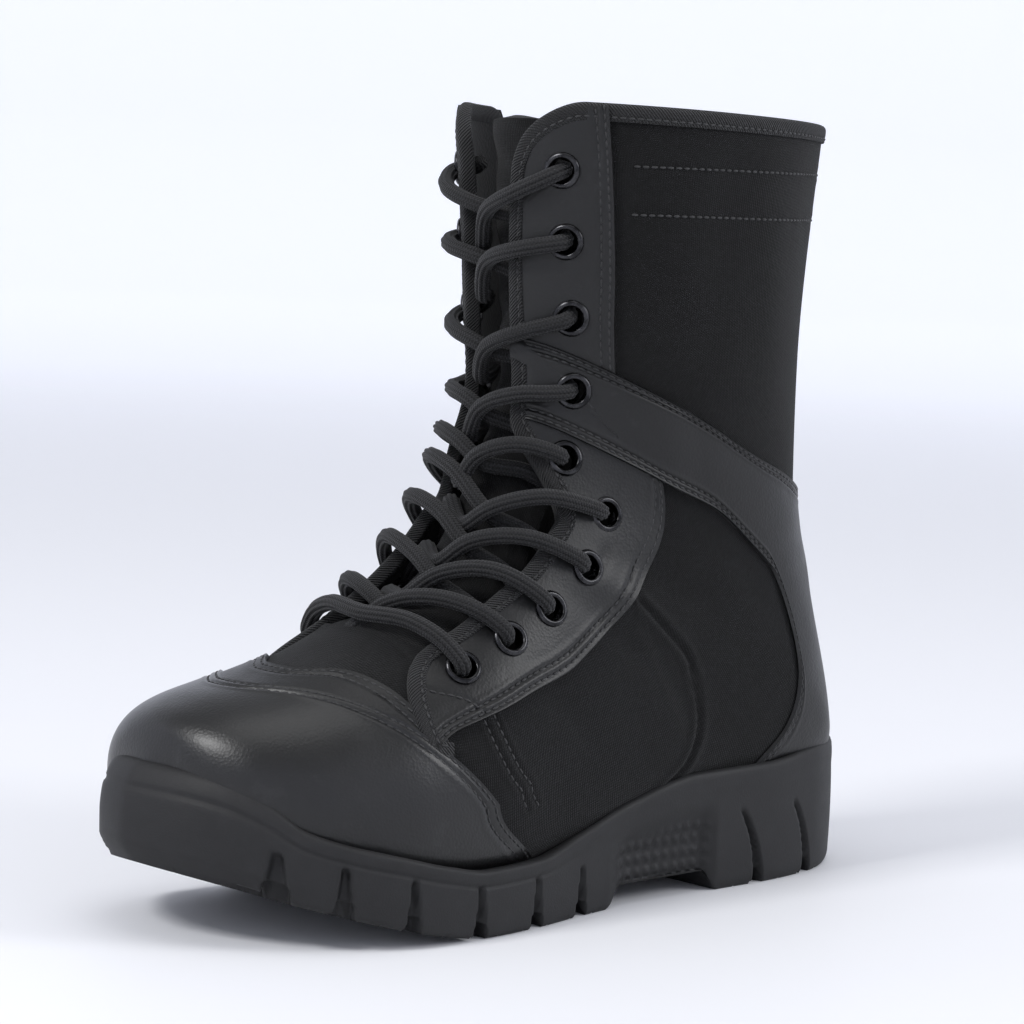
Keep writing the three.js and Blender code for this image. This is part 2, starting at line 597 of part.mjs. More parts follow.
// The strap starts at the inner facing, stands off over the zip and its pull, and ends round the back.
function stationAt(height, v) {
  let low = 0.62, high = 1.1;
  for (let i = 0; i < 30; i++) {
    const middle = (low + high) / 2;
    if (skin(middle, v).z < height) low = middle; else high = middle;
  }
  return low;
}
const strapLift = curveOf([
  // v    above the upper's outside
  [0.290, overlayTop + gap],
  [0.330, overlayTop + gap + 0.3],
  [0.410, hingeOut + 1.7],
  [0.490, hingeOut + 1.7],
  [0.590, 1.0],
  [1.000, 0.8],
]);
const strapLong = 20, strapWide = 2;
function strapSolid() {
  const layers = [0, strapThick].map(thick => {
    const rows = [];
    for (let i = 0; i <= strapLong; i++) {
      for (let j = 0; j <= strapWide; j++) {
        const w = j / strapWide, end = 0.985 - 0.05 * w;
        const v = 0.295 + (end - 0.295) * i / strapLong;
        const z = instepHeight + shaftRise * (strapLow + (strapHigh - strapLow) * w);
        rows.push(skin(stationAt(z, -v), -v, strapLift(v)[1] + thick));
      }
    }
    return rows;
  });
  return plate(layers, strapLong, strapWide);
}

// The lace, as the crossings that show between the two rows of eyelets.
const laceShape = new THREE.Shape(Array.from({ length: 6 }, (_, i) => new THREE.Vector2(
  laceRadius * Math.cos(i * Math.PI / 3), laceRadius * Math.sin(i * Math.PI / 3))));
const strand = points => solidFrom(new THREE.ExtrudeGeometry(laceShape, {
  steps: 7, bevelEnabled: false, extrudePath: new THREE.CatmullRomCurve3(points) }));
const over = overlayTop + gap + laceRadius + 0.2;
const under = -wall - laceRadius - 0.9;
const mix = (a, b, share) => a + (b - a) * share;
// Where the two strands of each crossing pass each other, from the collar down.
const crossingRows = [
  // station v
  [0.906, -0.020], [0.853, -0.020], [0.745, -0.010], [0.650, 0.005], [0.580, 0.035],
  [0.530, 0.110], [0.480, 0.100], [0.430, 0.080], [0.372, 0.030],
];
const eyeletPlace = (i, side) => side > 0 ? eyeletRows[i].slice(0, 2) : eyeletRows[i].slice(2);
const along = (a, b, share, out) => skin(mix(a[0], b[0], share), mix(a[1], b[1], share), out);
// The end beside an eyelet, just clear of its flange, on the line to the point given.
function besideEyelet(place, towards, out) {
  const span = along(place, towards, 0, 0).distanceTo(along(place, towards, 1, 0));
  return along(place, towards, (eyeletOuter + laceRadius * 0.4 + 0.6) / span, out);
}
function laceStrand(i, side, height, loop) {
  const start = eyeletPlace(i + 1, -side), middle = crossingRows[i], end = eyeletPlace(i, side);
  return strand([
    along(middle, start, 0.55, under),
    along(middle, start, 0.32, under),
    skin(...middle, height),
    along(middle, end, 0.5, over + loop),
    besideEyelet(end, middle, over),
  ]);
}
const laces = crossingRows.map((row, i) => laceStrand(i, 1, 1.4, 0.7).add(laceStrand(i, -1, -2.2, 1.8)));
const barMiddle = [0.345, 0.02];
const laceBar = strand([
  besideEyelet(eyeletPlace(9, 1), barMiddle, over),
  along(eyeletPlace(9, 1), barMiddle, 0.5, over + 1),
  skin(...barMiddle, over + 0.2),
  along(eyeletPlace(9, -1), barMiddle, 0.5, over + 1),
  besideEyelet(eyeletPlace(9, -1), barMiddle, over),
]);

const rubber = [0x2b2c2d, 0.75, 0], cloth = [0x17181b, 0.95, 0], hide = [0x2c2d2f, 0.5, 0];
const metal = [0x3a3a3d, 0.3, 1], cord = [0x2a2b2d, 0.85, 0], tape = [0x1c1d20, 0.9, 0];
const pieces = {
  outsole: [sole, rubber],
  upper: [upper, cloth],
  tongue: [tongueSolid(), cloth],
  insole: [insole, cloth],
  toe_cap: [toeCap, hide],
  vamp_crescent: [vampBand, hide],
  eyestay_lateral_upper: [stayUpper, hide],
  eyestay_lateral_lower: [stayLower, hide],
  eyestay_medial: [stayInner, hide],
  heel_band: [heelBand, hide],
  binding: [binding, tape],
  zip: [zip, tape],
  zip_slider: [slider, metal],
  zip_pull: [pull, metal],
  strap: [strapSolid(), hide],
  lace_bar: [laceBar, cord],
};
eyelets.forEach(({ name, frame }) => { pieces[name] = [turned(eyeletProfile, frame), metal]; });
laces.forEach((solid, i) => { pieces[`lace_crossing_${i + 1}`] = [solid, cord]; });
const group = new THREE.Group();
for (const [name, [solid, [color, roughness, metalness]]] of Object.entries(pieces)) {
  const { vertProperties, triVerts } = solid.getMesh();
  const geometry = new THREE.BufferGeometry()
    .setAttribute('position', new THREE.BufferAttribute(new Float32Array(vertProperties), 3));
  geometry.setIndex(new THREE.BufferAttribute(new Uint32Array(triVerts), 1));
  geometry.computeVertexNormals();
  const mesh = new THREE.Mesh(geometry, new THREE.MeshStandardMaterial({ color, roughness, metalness }));
  mesh.name = name;
  group.add(mesh);
}
export default group;
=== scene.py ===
import math

import bmesh
import bpy
import numpy as np
from mathutils import Matrix, Vector


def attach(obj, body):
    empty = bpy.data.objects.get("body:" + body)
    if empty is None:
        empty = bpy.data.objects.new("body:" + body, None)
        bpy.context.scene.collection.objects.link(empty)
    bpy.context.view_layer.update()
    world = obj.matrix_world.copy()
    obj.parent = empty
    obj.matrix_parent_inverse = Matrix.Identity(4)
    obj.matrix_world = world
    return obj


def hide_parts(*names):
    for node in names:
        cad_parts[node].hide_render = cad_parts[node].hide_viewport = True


# Left boot of a pair of black tactical boots: cloth upper with leather overlays, laced front, zip
# and strap on the inner side, cupped rubber sole. Sizes are in millimetres and go to metres when
# a piece is made. +X points to the toe, +Y to the outer side, +Z up.

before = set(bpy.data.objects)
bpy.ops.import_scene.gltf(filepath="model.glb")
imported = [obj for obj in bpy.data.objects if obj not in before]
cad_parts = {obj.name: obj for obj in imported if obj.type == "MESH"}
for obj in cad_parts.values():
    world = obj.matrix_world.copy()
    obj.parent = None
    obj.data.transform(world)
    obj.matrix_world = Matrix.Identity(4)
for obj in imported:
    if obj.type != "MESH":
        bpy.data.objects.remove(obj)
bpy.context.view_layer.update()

SOLE_LENGTH = 302
BALL_WIDTH = 114
HEEL_BACK = 46             # from the middle of the heel's tread to the back of the sole
HEEL_HEIGHT = 29
INSTEP_HEIGHT = 131
SHAFT_RISE = 139           # from the instep to the collar
WALL = 2.6                 # cloth, foam and lining of the upper
LEATHER = 1.3
GAP = 0.3
TOP = GAP + LEATHER        # outside of the leather above the cloth
EYELET_INNER = 4
EYELET_OUTER = 6.2
LACE_RADIUS = 2.6
LACE_RIBS = 9
LACE_SIDES = 36
LUG_DEPTH = 5
NOTCH_IN = 3.2             # how far the notches between the lugs reach into the sole's wall
STUD_PITCH = 4.6           # of the studs on the waist
WALL_LEAN = 1.8            # of the sole's wall, up to its lip
ARCH_HEIGHT = 7.5
STRAP_THICK = 1.7
STRAP_WIDTH = 28
STRAP_LOW, STRAP_HIGH = 0.583, 0.784      # shares of the shaft's rise
NOSE = 0.02                # stations over which the tip of the toe closes
COIL_WIDTH = 4.6
ZIP_WIDTH = 9.6
ZIP_LENGTH = 170
TOOTH_PITCH = 1.5
STRAP_ROWS = (250, 234)    # heights of the level rows of stitches on the cloth


def at_x(share):
    return share * SOLE_LENGTH - HEEL_BACK


def at_z(rise):
    return np.where(rise <= 1, rise * INSTEP_HEIGHT, INSTEP_HEIGHT + (rise - 1) * SHAFT_RISE)


def bend(a, b, rate_a, rate_b, width, u):
    """Smooth way from a to b, which leaves and arrives at these rates. u runs from 0 to 1."""
    return (a * (1 + 2 * u) * (1 - u) ** 2 + b * u * u * (3 - 2 * u)
            + width * (rate_a * u * (1 - u) ** 2 - rate_b * u * u * (1 - u)))


def bell(x, width):
    return np.exp(-(x / width) ** 2)


def curve_of(rows):
    """Smooth curve through the rows of a table. The first column is the place."""
    rows = np.array(rows, float)
    place = rows[:, 0]
    rate = np.diff(rows, axis=0) / np.diff(place)[:, None]
    slope = np.zeros_like(rows)
    slope[0], slope[-1] = rate[0], rate[-1]
    product, total = rate[:-1] * rate[1:], rate[:-1] + rate[1:]
    slope[1:-1] = np.where(product > 0, 2 * product / np.where(total == 0, 1, total), 0)

    def at(x):
        x = np.clip(np.asarray(x, float), place[0], place[-1])
        i = np.clip(np.searchsorted(place, x) - 1, 0, len(place) - 2)
        width = place[i + 1] - place[i]
        u = ((x - place[i]) / width)[..., None]
        return bend(rows[i], rows[i + 1], slope[i], slope[i + 1], width[..., None], u)
    return at


def ease(x):
    x = np.clip(x, 0, 1)
    return x * x * (3 - 2 * x)


# The last, as a fan of sections from upright at the toe to level at the collar.
last_rows = curve_of([
    # station lowX  floor  back   topX   top    half   mid    widest under over
    [0.00,   0.957, 1.38, 0,     0.967, 0.412, 0.070, -0.105, 0.50, 2.0, 2.0],
    [0.04,   0.947, 1.14, 0,     0.957, 0.504, 0.210, -0.105, 0.42, 2.3, 2.1],
    [0.10,   0.917, 0.93, 0,     0.921, 0.557, 0.338, -0.096, 0.38, 2.6, 2.2],
    [0.20,   0.848, 0.66, 0,     0.841, 0.611, 0.430, -0.061, 0.34, 3.2, 2.2],
    [0.30,   0.758, 0.50, 0,     0.752, 0.687, 0.468, -0.018, 0.32, 3.8, 2.1],
    [0.40,   0.656, 0.46, 0,     0.669, 0.817, 0.456, 0.008,  0.32, 4.0, 2.0],
    [0.50,   0.533, 0.57, 0,     0.599, 1.000, 0.412, 0.017,  0.32, 4.0, 1.95],
    [0.60,   0.358, 0.84, 0,     0.563, 1.173, 0.384, 0.009,  0.33, 4.0, 1.95],
    [0.68,   0.185, 1.00, 0,     0.543, 1.295, 0.375, 0.000,  0.36, 3.8, 2.0],
    [0.74,   0.026, 0.00, 0.320, 0.536, 1.388, 0.372, 0.000,  0.45, 2.9, 2.1],
    [0.80,   0.056, 0.00, 0.702, 0.533, 1.496, 0.390, 0.000,  0.50, 2.2, 2.1],
    [0.86,   0.089, 0.00, 1.007, 0.533, 1.626, 0.412, 0.000,  0.52, 2.1, 2.1],
    [0.92,   0.096, 0.00, 1.353, 0.536, 1.770, 0.434, 0.000,  0.52, 2.1, 2.1],
    [1.00,   0.073, 0.00, 1.971, 0.546, 2.000, 0.456, 0.000,  0.52, 2.1, 2.1],
    [1.10,   0.060, 0.00, 2.250, 0.550, 2.250, 0.474, 0.000,  0.52, 2.1, 2.1],
])


def on_last(station, v):
    """Points of the last: v is 0 on the front ridge, 1 and -1 at the back or underneath. Stations
    below 0 close the nose."""
    station, v = np.broadcast_arrays(np.asarray(station, float), np.asarray(v, float))
    nose = np.clip(-station / NOSE, 0, 1) * np.pi / 2
    row = last_rows(station)
    low_x, floor, back, top_x, top, half, mid, widest, under, over = np.moveaxis(row[..., 1:], -1, 0)
    x0, z0 = at_x(low_x), floor * HEEL_HEIGHT + at_z(back)
    x1, z1 = at_x(top_x), at_z(top)
    up, side = np.cos(np.pi * v), np.sin(np.pi * v)
    power = 2 / np.where(up >= 0, over, under)
    reach = np.abs(up) ** power
    s = np.where(up >= 0, widest + (1 - widest) * reach, widest * (1 - reach))
    y = mid * BALL_WIDTH + np.sign(side) * half * BALL_WIDTH * np.abs(side) ** power
    x, z = x0 + (x1 - x0) * s, z0 + (z1 - z0) * s
    x = x + (x0 / 2 + x1 / 2 - x) * (1 - np.cos(nose)) + 1.2 * np.sin(nose)
    y = y + (mid * BALL_WIDTH - y) * (1 - np.cos(nose))
    return np.stack([x, y, z + (z0 / 2 + z1 / 2 - z) * (1 - np.cos(nose))], -1)


def station_at(height, v):
    """Station of a height in millimetres on the shaft."""
    height, v = np.broadcast_arrays(np.asarray(height, float), np.asarray(v, float))
    low, high = np.full_like(v, 0.62), np.full_like(v, 1.1)
    for _ in range(30):
        middle = (low + high) / 2
        lower = on_last(middle, v)[..., 2] < height
        low, high = np.where(lower, middle, low), np.where(lower, high, middle)
    return low


def outward(station, v):
    station, v = np.broadcast_arrays(np.asarray(station, float), np.asarray(v, float))
    nose, station = np.clip(-station / NOSE, 0, 1)[..., None], np.maximum(station, 0)
    along = on_last(np.minimum(station + 0.01, 1.1), v) - on_last(np.maximum(station - 0.01, 0), v)
    across = on_last(station, v + 0.012) - on_last(station, v - 0.012)
    normal = np.cross(across, along)
    normal /= np.linalg.norm(normal, axis=-1, keepdims=True) + 1e-9
    normal = normal * (1 - nose) + np.array([1, 0, 0]) * nose
    return normal / np.linalg.norm(normal, axis=-1, keepdims=True)


# Soft creases of the cloth and leather. Depths below 0 are ridges.
crease_rows = np.array([
    # x    y    z    direction            length width depth
    # vamp, across the bend of the toes
    [168,  12,  88,  -0.10, 0.98, -0.20,  26,  5.0,  0.7],
    [176,   8,  82,  -0.05, 0.99, -0.15,  24,  5.0, -0.6],
    [160, -22,  86,   0.20, 0.95,  0.25,  22,  5.0,  0.6],
    # outer quarter, from the instep down to the heel
    [92,   40,  92,  -0.80, 0.10, -0.55,  30,  6.0,  0.9],
    [84,   42, 104,  -0.85, 0.10, -0.45,  28,  6.0, -0.8],
    [64,   42, 108,  -0.90, 0.05, -0.35,  24,  6.0,  0.8],
    [120,  44,  70,  -0.70, 0.15, -0.65,  22,  6.0,  0.6],
    # inner quarter
    [90,  -42,  92,  -0.80, -0.10, -0.55, 30,  6.0,  0.9],
    [76,  -42, 106,  -0.85, -0.10, -0.40, 26,  6.0, -0.8],
    [122, -42,  68,  -0.70, -0.15, -0.65, 22,  6.0,  0.6],
    # facing, beside the fifth and sixth eyelet
    [92,   33, 134,   0.55, 0.55, -0.60,   9,  2.6,  0.6],
    [97,   37, 118,   0.60, 0.45, -0.60,   9,  2.4,  0.5],
    # ankle at the back, and round the shaft
    [-8,   20, 118,   0.55, 0.75,  0.20,  22,  6.0,  0.9],
    [-4,  -20, 122,   0.55, -0.75, 0.20,  22,  6.0,  0.9],
    [40,   48, 158,  -0.96, 0.05, -0.20,  34,  9.0,  1.2],
    [34,   48, 174,  -0.98, 0.05, -0.12,  30,  9.0, -0.9],
    [30,  -48, 160,  -0.96, -0.05, -0.20, 34,  9.0,  1.2],
    [34,  -50, 178,  -0.98, -0.05, 0.10,  30,  9.0, -0.8],
    [30,   52, 215,   0.12, 0.02,  0.99,  40, 12.0, -1.0],
    [58,   48, 222,  -0.08, 0.05,  0.99,  36, 10.0,  0.8],
    [2,    40, 222,   0.05, 0.05,  0.99,  44, 12.0,  0.8],
    [-16,   4, 220,   0.05, 0.00,  0.99,  40, 12.0, -0.7],
    [4,   -42, 216,   0.05, -0.05, 0.99,  40, 12.0,  0.8],
])


def crease(points):
    total = np.zeros(points.shape[:-1])
    for row in crease_rows:
        away = points - row[:3]
        run = away @ (row[3:6] / np.linalg.norm(row[3:6]))
        off = np.maximum(np.sum(away ** 2, axis=-1) - run ** 2, 0)
        total -= row[8] * np.exp(-(run / row[6]) ** 2 - off / row[7] ** 2)
    return total


def skin(station, v, out=0.0):
    """Points at a distance outside the last, along its own outward direction."""
    points = on_last(station, v)
    lift = np.asarray(out, float) + crease(points)
    return points + outward(station, v) * lift[..., None]


# Making pieces


def place_mesh(name, mesh, material, body="boot", replaces=()):
    """Puts a mesh in the scene as a piece of the boot. A bmesh is turned into its mesh first."""
    if isinstance(mesh, bmesh.types.BMesh):
        form, mesh = mesh, bpy.data.meshes.new(name)
        form.to_mesh(mesh)
        form.free()
    mesh.name = name
    piece = bpy.data.objects.new(name, mesh)
    bpy.context.scene.collection.objects.link(piece)
    mesh.materials.append(material)
    mesh.shade_smooth()
    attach(piece, body)
    if replaces:
        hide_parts(*replaces)
    return piece


def in_metres(x, y, z, origin):
    """Matrix in metres with these axes, at a place in millimetres."""
    turn = Matrix([[x[k], y[k], z[k], origin[k]] for k in range(3)] + [[0, 0, 0, 1]])
    return Matrix.Scale(0.001, 4) @ turn


def spun(section, steps, closed):
    """A bmesh spun round z from a section's radii and heights."""
    form = bmesh.new()
    verts = [form.verts.new((r, 0, h)) for r, h in section]
    ahead = verts[1:] + verts[:1] if closed else verts[1:]
    edges = [form.edges.new(pair) for pair in zip(verts, ahead)]
    bmesh.ops.spin(form, geom=verts + edges, cent=(0, 0, 0), axis=(0, 0, 1), angle=2 * math.pi,
                   steps=steps, use_merge=True)
    return form


def add_wall(piece, thickness, bevel=0.0):
    """Gives a sheet its thickness in millimetres and rounds its edges."""
    wall = piece.modifiers.new("wall", "SOLIDIFY")
    wall.thickness, wall.offset = thickness / 1000, -1
    if bevel:
        rim = piece.modifiers.new("rim", "BEVEL")
        rim.width, rim.segments = bevel / 1000, 3
        rim.limit_method, rim.angle_limit = "ANGLE", math.radians(50)
    return piece


def grid_mesh(place, long, wide, middle=None, merge=False, caps=False):
    """A sheet of long by wide faces with its corners at place(s, w) in millimetres, s along and w
    across from 0 to 1. Its UV map holds the real lengths in metres. middle(points) gives the points
    that its faces turn away from, and merge closes corners that meet."""
    form = bmesh.new()
    bmesh.ops.create_grid(form, x_segments=long, y_segments=wide, size=0.5)
    mesh = bpy.data.meshes.new("sheet")
    form.to_mesh(mesh)
    form.free()
    flat = np.empty(len(mesh.vertices) * 3)
    mesh.vertices.foreach_get("co", flat)
    flat = flat.reshape(-1, 3)
    i = np.rint((flat[:, 0] + 0.5) * long).astype(int)
    j = np.rint((flat[:, 1] + 0.5) * wide).astype(int)
    s, w = np.meshgrid(np.linspace(0, 1, long + 1), np.linspace(0, 1, wide + 1), indexing="ij")
    points = np.asarray(place(s, w), float)
    run = np.linalg.norm(np.diff(points, axis=0), axis=-1).mean(axis=1)
    along = np.concatenate([[0], np.cumsum(run)])[:, None] + 0 * w
    steps = np.linalg.norm(np.diff(points, axis=1), axis=-1)
    across = np.pad(np.cumsum(steps, axis=1), ((0, 0), (1, 0)))
    across = across - across[:, -1:] / 2
    mesh.vertices.foreach_set("co", (points[i, j] / 1000).ravel())
    corner = np.empty(len(mesh.loops), dtype=np.int32)
    mesh.loops.foreach_get("vertex_index", corner)
    sizes = mesh.uv_layers.new(name="sizes")
    sizes.data.foreach_set("uv", np.column_stack([along[i, j], across[i, j]])[corner].ravel() / 1000)
    mesh.update()
    if merge or caps:
        form = bmesh.new()
        form.from_mesh(mesh)
        if merge:
            bmesh.ops.remove_doubles(form, verts=form.verts, dist=2e-6)
        if caps:
            bmesh.ops.holes_fill(form, edges=[e for e in form.edges if e.is_boundary])
        form.to_mesh(mesh)
        form.free()
    centres = np.empty(len(mesh.polygons) * 3)
    normals, areas = np.empty_like(centres), np.empty(len(mesh.polygons))
    mesh.polygons.foreach_get("center", centres)
    mesh.polygons.foreach_get("normal", normals)
    mesh.polygons.foreach_get("area", areas)
    centres, normals = centres.reshape(-1, 3) * 1000, normals.reshape(-1, 3)
    away = centres - (middle or last_axis)(centres)
    if np.sum(np.sum(away * normals, axis=1) * areas) < 0:
        mesh.flip_normals()
    return mesh


def last_axis(points):
    """The middle of the foot or leg beside each point."""
    x, z = points[:, 0], points[:, 2]
    leg = np.stack([np.full_like(x, 50), np.zeros_like(x), z], -1)
    foot = np.stack([np.clip(x, 0, 215), np.full_like(x, -4), 48 + np.maximum(0, z - 60) * 0.4], -1)
    return np.where((z > 150)[:, None], leg, foot)


def line_through(rows):
    """A line through (station, v) rows, walked at an even speed over the boot."""
    rows = np.array(rows, float)
    curve = curve_of(np.column_stack([np.arange(len(rows)) / (len(rows) - 1), rows]))
    fine = np.linspace(0, 1, 800)
    places = curve(fine)[:, 1:]
    points = on_last(places[:, 0], places[:, 1])
    length = np.concatenate([[0], np.cumsum(np.linalg.norm(np.diff(points, axis=0), axis=-1))])

    def at(share):
        place = curve(np.interp(share, length / length[-1], fine))
        return place[..., 1], place[..., 2]
    at.length = length[-1]
    return at


def run_of(points):
    return np.concatenate([[0], np.cumsum(np.linalg.norm(np.diff(points, axis=0), axis=-1))])


def places_on(line, run, at):
    """Points of a line at these distances along it."""
    return np.stack([np.interp(at, run, line[:, k]) for k in range(line.shape[1])], -1)


def soften(line, reach, width, closed=False):
    """Rounds an evenly spaced line, with each point moved to a mean over reach points each way."""
    kernel = bell(np.arange(-reach, reach + 1), width)
    kernel /= kernel.sum()
    before, after = ((line[-reach:], line[:reach]) if closed
                     else (np.repeat(line[:1], reach, axis=0), np.repeat(line[-1:], reach, axis=0)))
    padded = np.concatenate([before, line, after])
    return np.stack([np.convolve(padded[:, k], kernel, "valid") for k in range(line.shape[1])], -1)


def near_line(points, line):
    """Distance in millimetres from each point to a line of points."""
    best = np.full(len(points), 1e9)
    low, high = line.min(axis=0) - 8, line.max(axis=0) + 8
    close = np.all((points > low) & (points < high), axis=1)
    some = points[close]
    found = np.full(len(some), 1e9)
    for a, b in zip(line[:-1], line[1:]):
        run = b - a
        share = np.clip((some - a) @ run / (run @ run), 0, 1)
        found = np.minimum(found, np.linalg.norm(some - a - share[:, None] * run, axis=1))
    best[close] = found
    return best


class Panel:
    """A piece of the upper between two lines. It knows the distance to each of its edges."""

    def __init__(self, line_a, line_b, out, step=1.4):
        self.a, self.b, self.out = line_a, line_b, out
        self.long = max(4, int(max(line_a.length, line_b.length) / step))
        self.shares = np.linspace(0, 1, 121)
        self.length = run_of(on_last(*self.between(self.shares, 0.5)))[-1]
        s, w = np.meshgrid(self.shares, np.linspace(0, 1, 25), indexing="ij")
        rows = on_last(*self.between(s, w))
        self.widths = np.sum(np.linalg.norm(np.diff(rows, axis=1), axis=-1), axis=1)
        self.wide = max(3, int(self.widths.max() / step))

    def between(self, s, w):
        (ta, va), (tb, vb) = self.a(s), self.b(s)
        return ta + (tb - ta) * w, va + (vb - va) * w

    def width(self, s):
        return np.interp(s, self.shares, self.widths)

    def place(self, s, w):
        width = self.width(s)
        edges = {"a": w * width, "b": (1 - w) * width,
                 "start": s * self.length, "end": (1 - s) * self.length}
        station, v = self.between(s, w)
        return skin(station, v, self.out(edges, station, v))

    def seam(self, edge, distance, start=0.0, end=1.0):
        """Points and outward directions along a line at a distance from an edge."""
        walk = np.linspace(start, end, 400)
        if edge in "ab":
            share = distance / self.width(walk)
            s, w = walk, share if edge == "a" else 1 - share
        else:
            share = distance / self.length
            s, w = np.full_like(walk, share if edge == "start" else 1 - share), walk
        station, v = self.between(s, w)
        return self.place(s, w), outward(station, v)


def leather_panel(name, line_a, line_b, node, seam_rows=(), edges="", lift=None, step=1.4, sewn=()):
    """A leather piece with rolled edges. seam_rows are its stitched rows: edge, distance from it,
    and the shares of its length between which it runs. edges are those that show, and
    lift(station, v) is how far its top stands above the cloth. sewn are other stitched lines."""
    sewn_lines = [line_through(rows)(np.linspace(0, 1, 61)) for rows in sewn]

    def out(away, station, v):
        height = np.full_like(station, TOP) if lift is None else lift(station, v)
        for places in sewn_lines:
            flat = on_last(station, v).reshape(-1, 3)
            off = near_line(flat, on_last(*places)).reshape(station.shape)
            height = height - 0.5 * bell(off, 0.7)
        for edge in edges:
            height = height + 0.35 * bell(away[edge] - 0.8, 1.5)
        for edge, distance, *_ in seam_rows:
            height = height - 0.62 * bell(away[edge] - distance, 0.7)
            height = height + 0.2 * bell(away[edge] - distance - 1.7, 1.1)
        return height
    panel = Panel(line_a, line_b, out, step)
    mesh = pierce(grid_mesh(panel.place, panel.long, panel.wide), 5)
    piece = place_mesh(name, mesh, HIDE,
                       replaces=[node] if node else [])
    add_wall(piece, LEATHER, 0.5)
    for row in seam_rows:
        seams.append(panel.seam(*row))
    for places in sewn_lines:
        seams.append((skin(*places, TOP - 0.4), outward(*places)))
    return panel


seams = []      # the points and outward directions of every stitched row


# Shader nodes

class Socket:
    """A node's output, with the arithmetic of Python."""

    def __init__(self, work, socket):
        self.work, self.socket = work, socket

    def _math(self, kind, *values):
        return self.work.node("ShaderNodeMath", {"operation": kind}, values)

    def __add__(self, other): return self._math("ADD", self, other)
    def __radd__(self, other): return self._math("ADD", other, self)
    def __sub__(self, other): return self._math("SUBTRACT", self, other)
    def __rsub__(self, other): return self._math("SUBTRACT", other, self)
    def __mul__(self, other): return self._math("MULTIPLY", self, other)
    def __rmul__(self, other): return self._math("MULTIPLY", other, self)
    def __truediv__(self, other): return self._math("DIVIDE", self, other)
    def abs(self): return self._math("ABSOLUTE", self)
    def sin(self): return self._math("SINE", self)

    def band(self, low, high, to_low=0.0, to_high=1.0):
        return self.work.node("ShaderNodeMapRange", {"interpolation_type": "SMOOTHSTEP"},
                              [self, low, high, to_low, to_high])


class Finish:
    """A material on one Principled shader. Constants go to its own sockets."""

    def __init__(self, name, **constants):
        self.material = bpy.data.materials.new(name)
        self.material.use_nodes = True
        self.nodes = self.material.node_tree.nodes
        self.links = self.material.node_tree.links
        self.shader = self.nodes["Principled BSDF"]
        for socket, value in constants.items():
            self.shader.inputs[socket.replace("_", " ")].default_value = value

    def put(self, socket, value):
        if isinstance(value, Socket):
            self.links.new(value.socket, socket)
        else:
            socket.default_value = value

    def node(self, kind, settings=None, values=(), output=0):
        made = self.nodes.new(kind)
        for key, value in (settings or {}).items():
            setattr(made, key, value)
        for key, value in values.items() if isinstance(values, dict) else enumerate(values):
            self.put(made.inputs[key], value)
        return Socket(self, made.outputs[output])

    def scaled(self, point, size):
        return self.node("ShaderNodeVectorMath", {"operation": "SCALE"}, {0: point, "Scale": 1 / size})

    def place(self, size):
        """The place in the boot, in units of size metres."""
        return self.scaled(self.node("ShaderNodeTexCoord", output="Object"), size)

    def along(self, size):
        """The place on the sheet, along and across it, in units of size metres."""
        return self.scaled(self.node("ShaderNodeUVMap", {"uv_map": "sizes"}), size)

    def parts(self, vector):
        split = self.node("ShaderNodeSeparateXYZ", {}, [vector])
        return [Socket(self, output) for output in split.socket.node.outputs]

    def noise(self, vector, detail=3.0, roughness=0.5):
        return self.node("ShaderNodeTexNoise", {}, {"Vector": vector, "Scale": 1.0, "Detail": detail,
                                                    "Roughness": roughness})

    def cells(self, vector):
        return self.node("ShaderNodeTexVoronoi", {"feature": "F1"}, {"Vector": vector, "Scale": 1.0},
                         "Distance")

    def mix(self, share, low, high):
        return self.node("ShaderNodeMix", {"data_type": "RGBA"}, {0: share, 6: low, 7: high}, 2)

    def set(self, socket, value):
        self.put(self.shader.inputs[socket], value)
        return self

    def bump(self, height, distance, strength=1.0):
        return self.set("Normal", self.node("ShaderNodeBump", {}, {
            "Height": height, "Distance": distance, "Strength": strength}))


def grey(value, tint=(1.0, 1.0, 1.06)):
    return (value * tint[0], value * tint[1], value * tint[2], 1)


def leather_finish(name="satin_leather", coat=0.07, folds=1.0, gloss=0.0):
    f = Finish(name, Coat_Weight=coat, Coat_Roughness=0.3, Specular_IOR_Level=0.32)
    clouds = f.noise(f.place(0.03), 4.0, 0.6)
    grain = f.cells(f.place(0.0010))
    pores = f.noise(f.place(0.0005), 2.0)
    slack = f.noise(f.place(0.006), 3.0, 0.55)
    rub = f.noise(f.place(0.011), 5.0, 0.7)
    worn = rub.band(0.56, 0.74)
    f.set("Base Color", f.mix((clouds * 0.7 + worn * 0.5).band(0.3, 0.8), grey(0.0045), grey(0.0095)))
    f.set("Roughness", clouds.band(0.3, 0.75, 0.37 - gloss, 0.48 - gloss) + worn * 0.06 + pores * 0.05)
    return f.bump(grain * 0.5 + pores * 0.25 + slack * folds, 0.00026, 0.55).material


def cloth_finish():
    f = Finish("woven_cloth", Roughness=0.96, Sheen_Weight=0.06, Sheen_Roughness=0.5,
               Specular_IOR_Level=0.25)
    x, y, _ = f.parts(f.along(0.001))
    slub = f.noise(f.along(0.0014), 3.0)
    warp, weft = (x * 3.4 + slub * 0.8).sin(), (y * 3.4 + slub * 0.8).sin()
    thread = (warp * weft).abs()
    clouds = f.noise(f.place(0.025), 4.0)
    fluff = f.noise(f.place(0.0018), 4.0, 0.65)
    f.set("Base Color", f.mix((thread * 0.35 + fluff * 0.8 + clouds * 0.2).band(0.42, 1.05),
                              grey(0.0016), grey(0.0066)))
    return f.bump(thread * 0.6 + slub * 0.5 + fluff * 0.8, 0.0003, 0.8).material


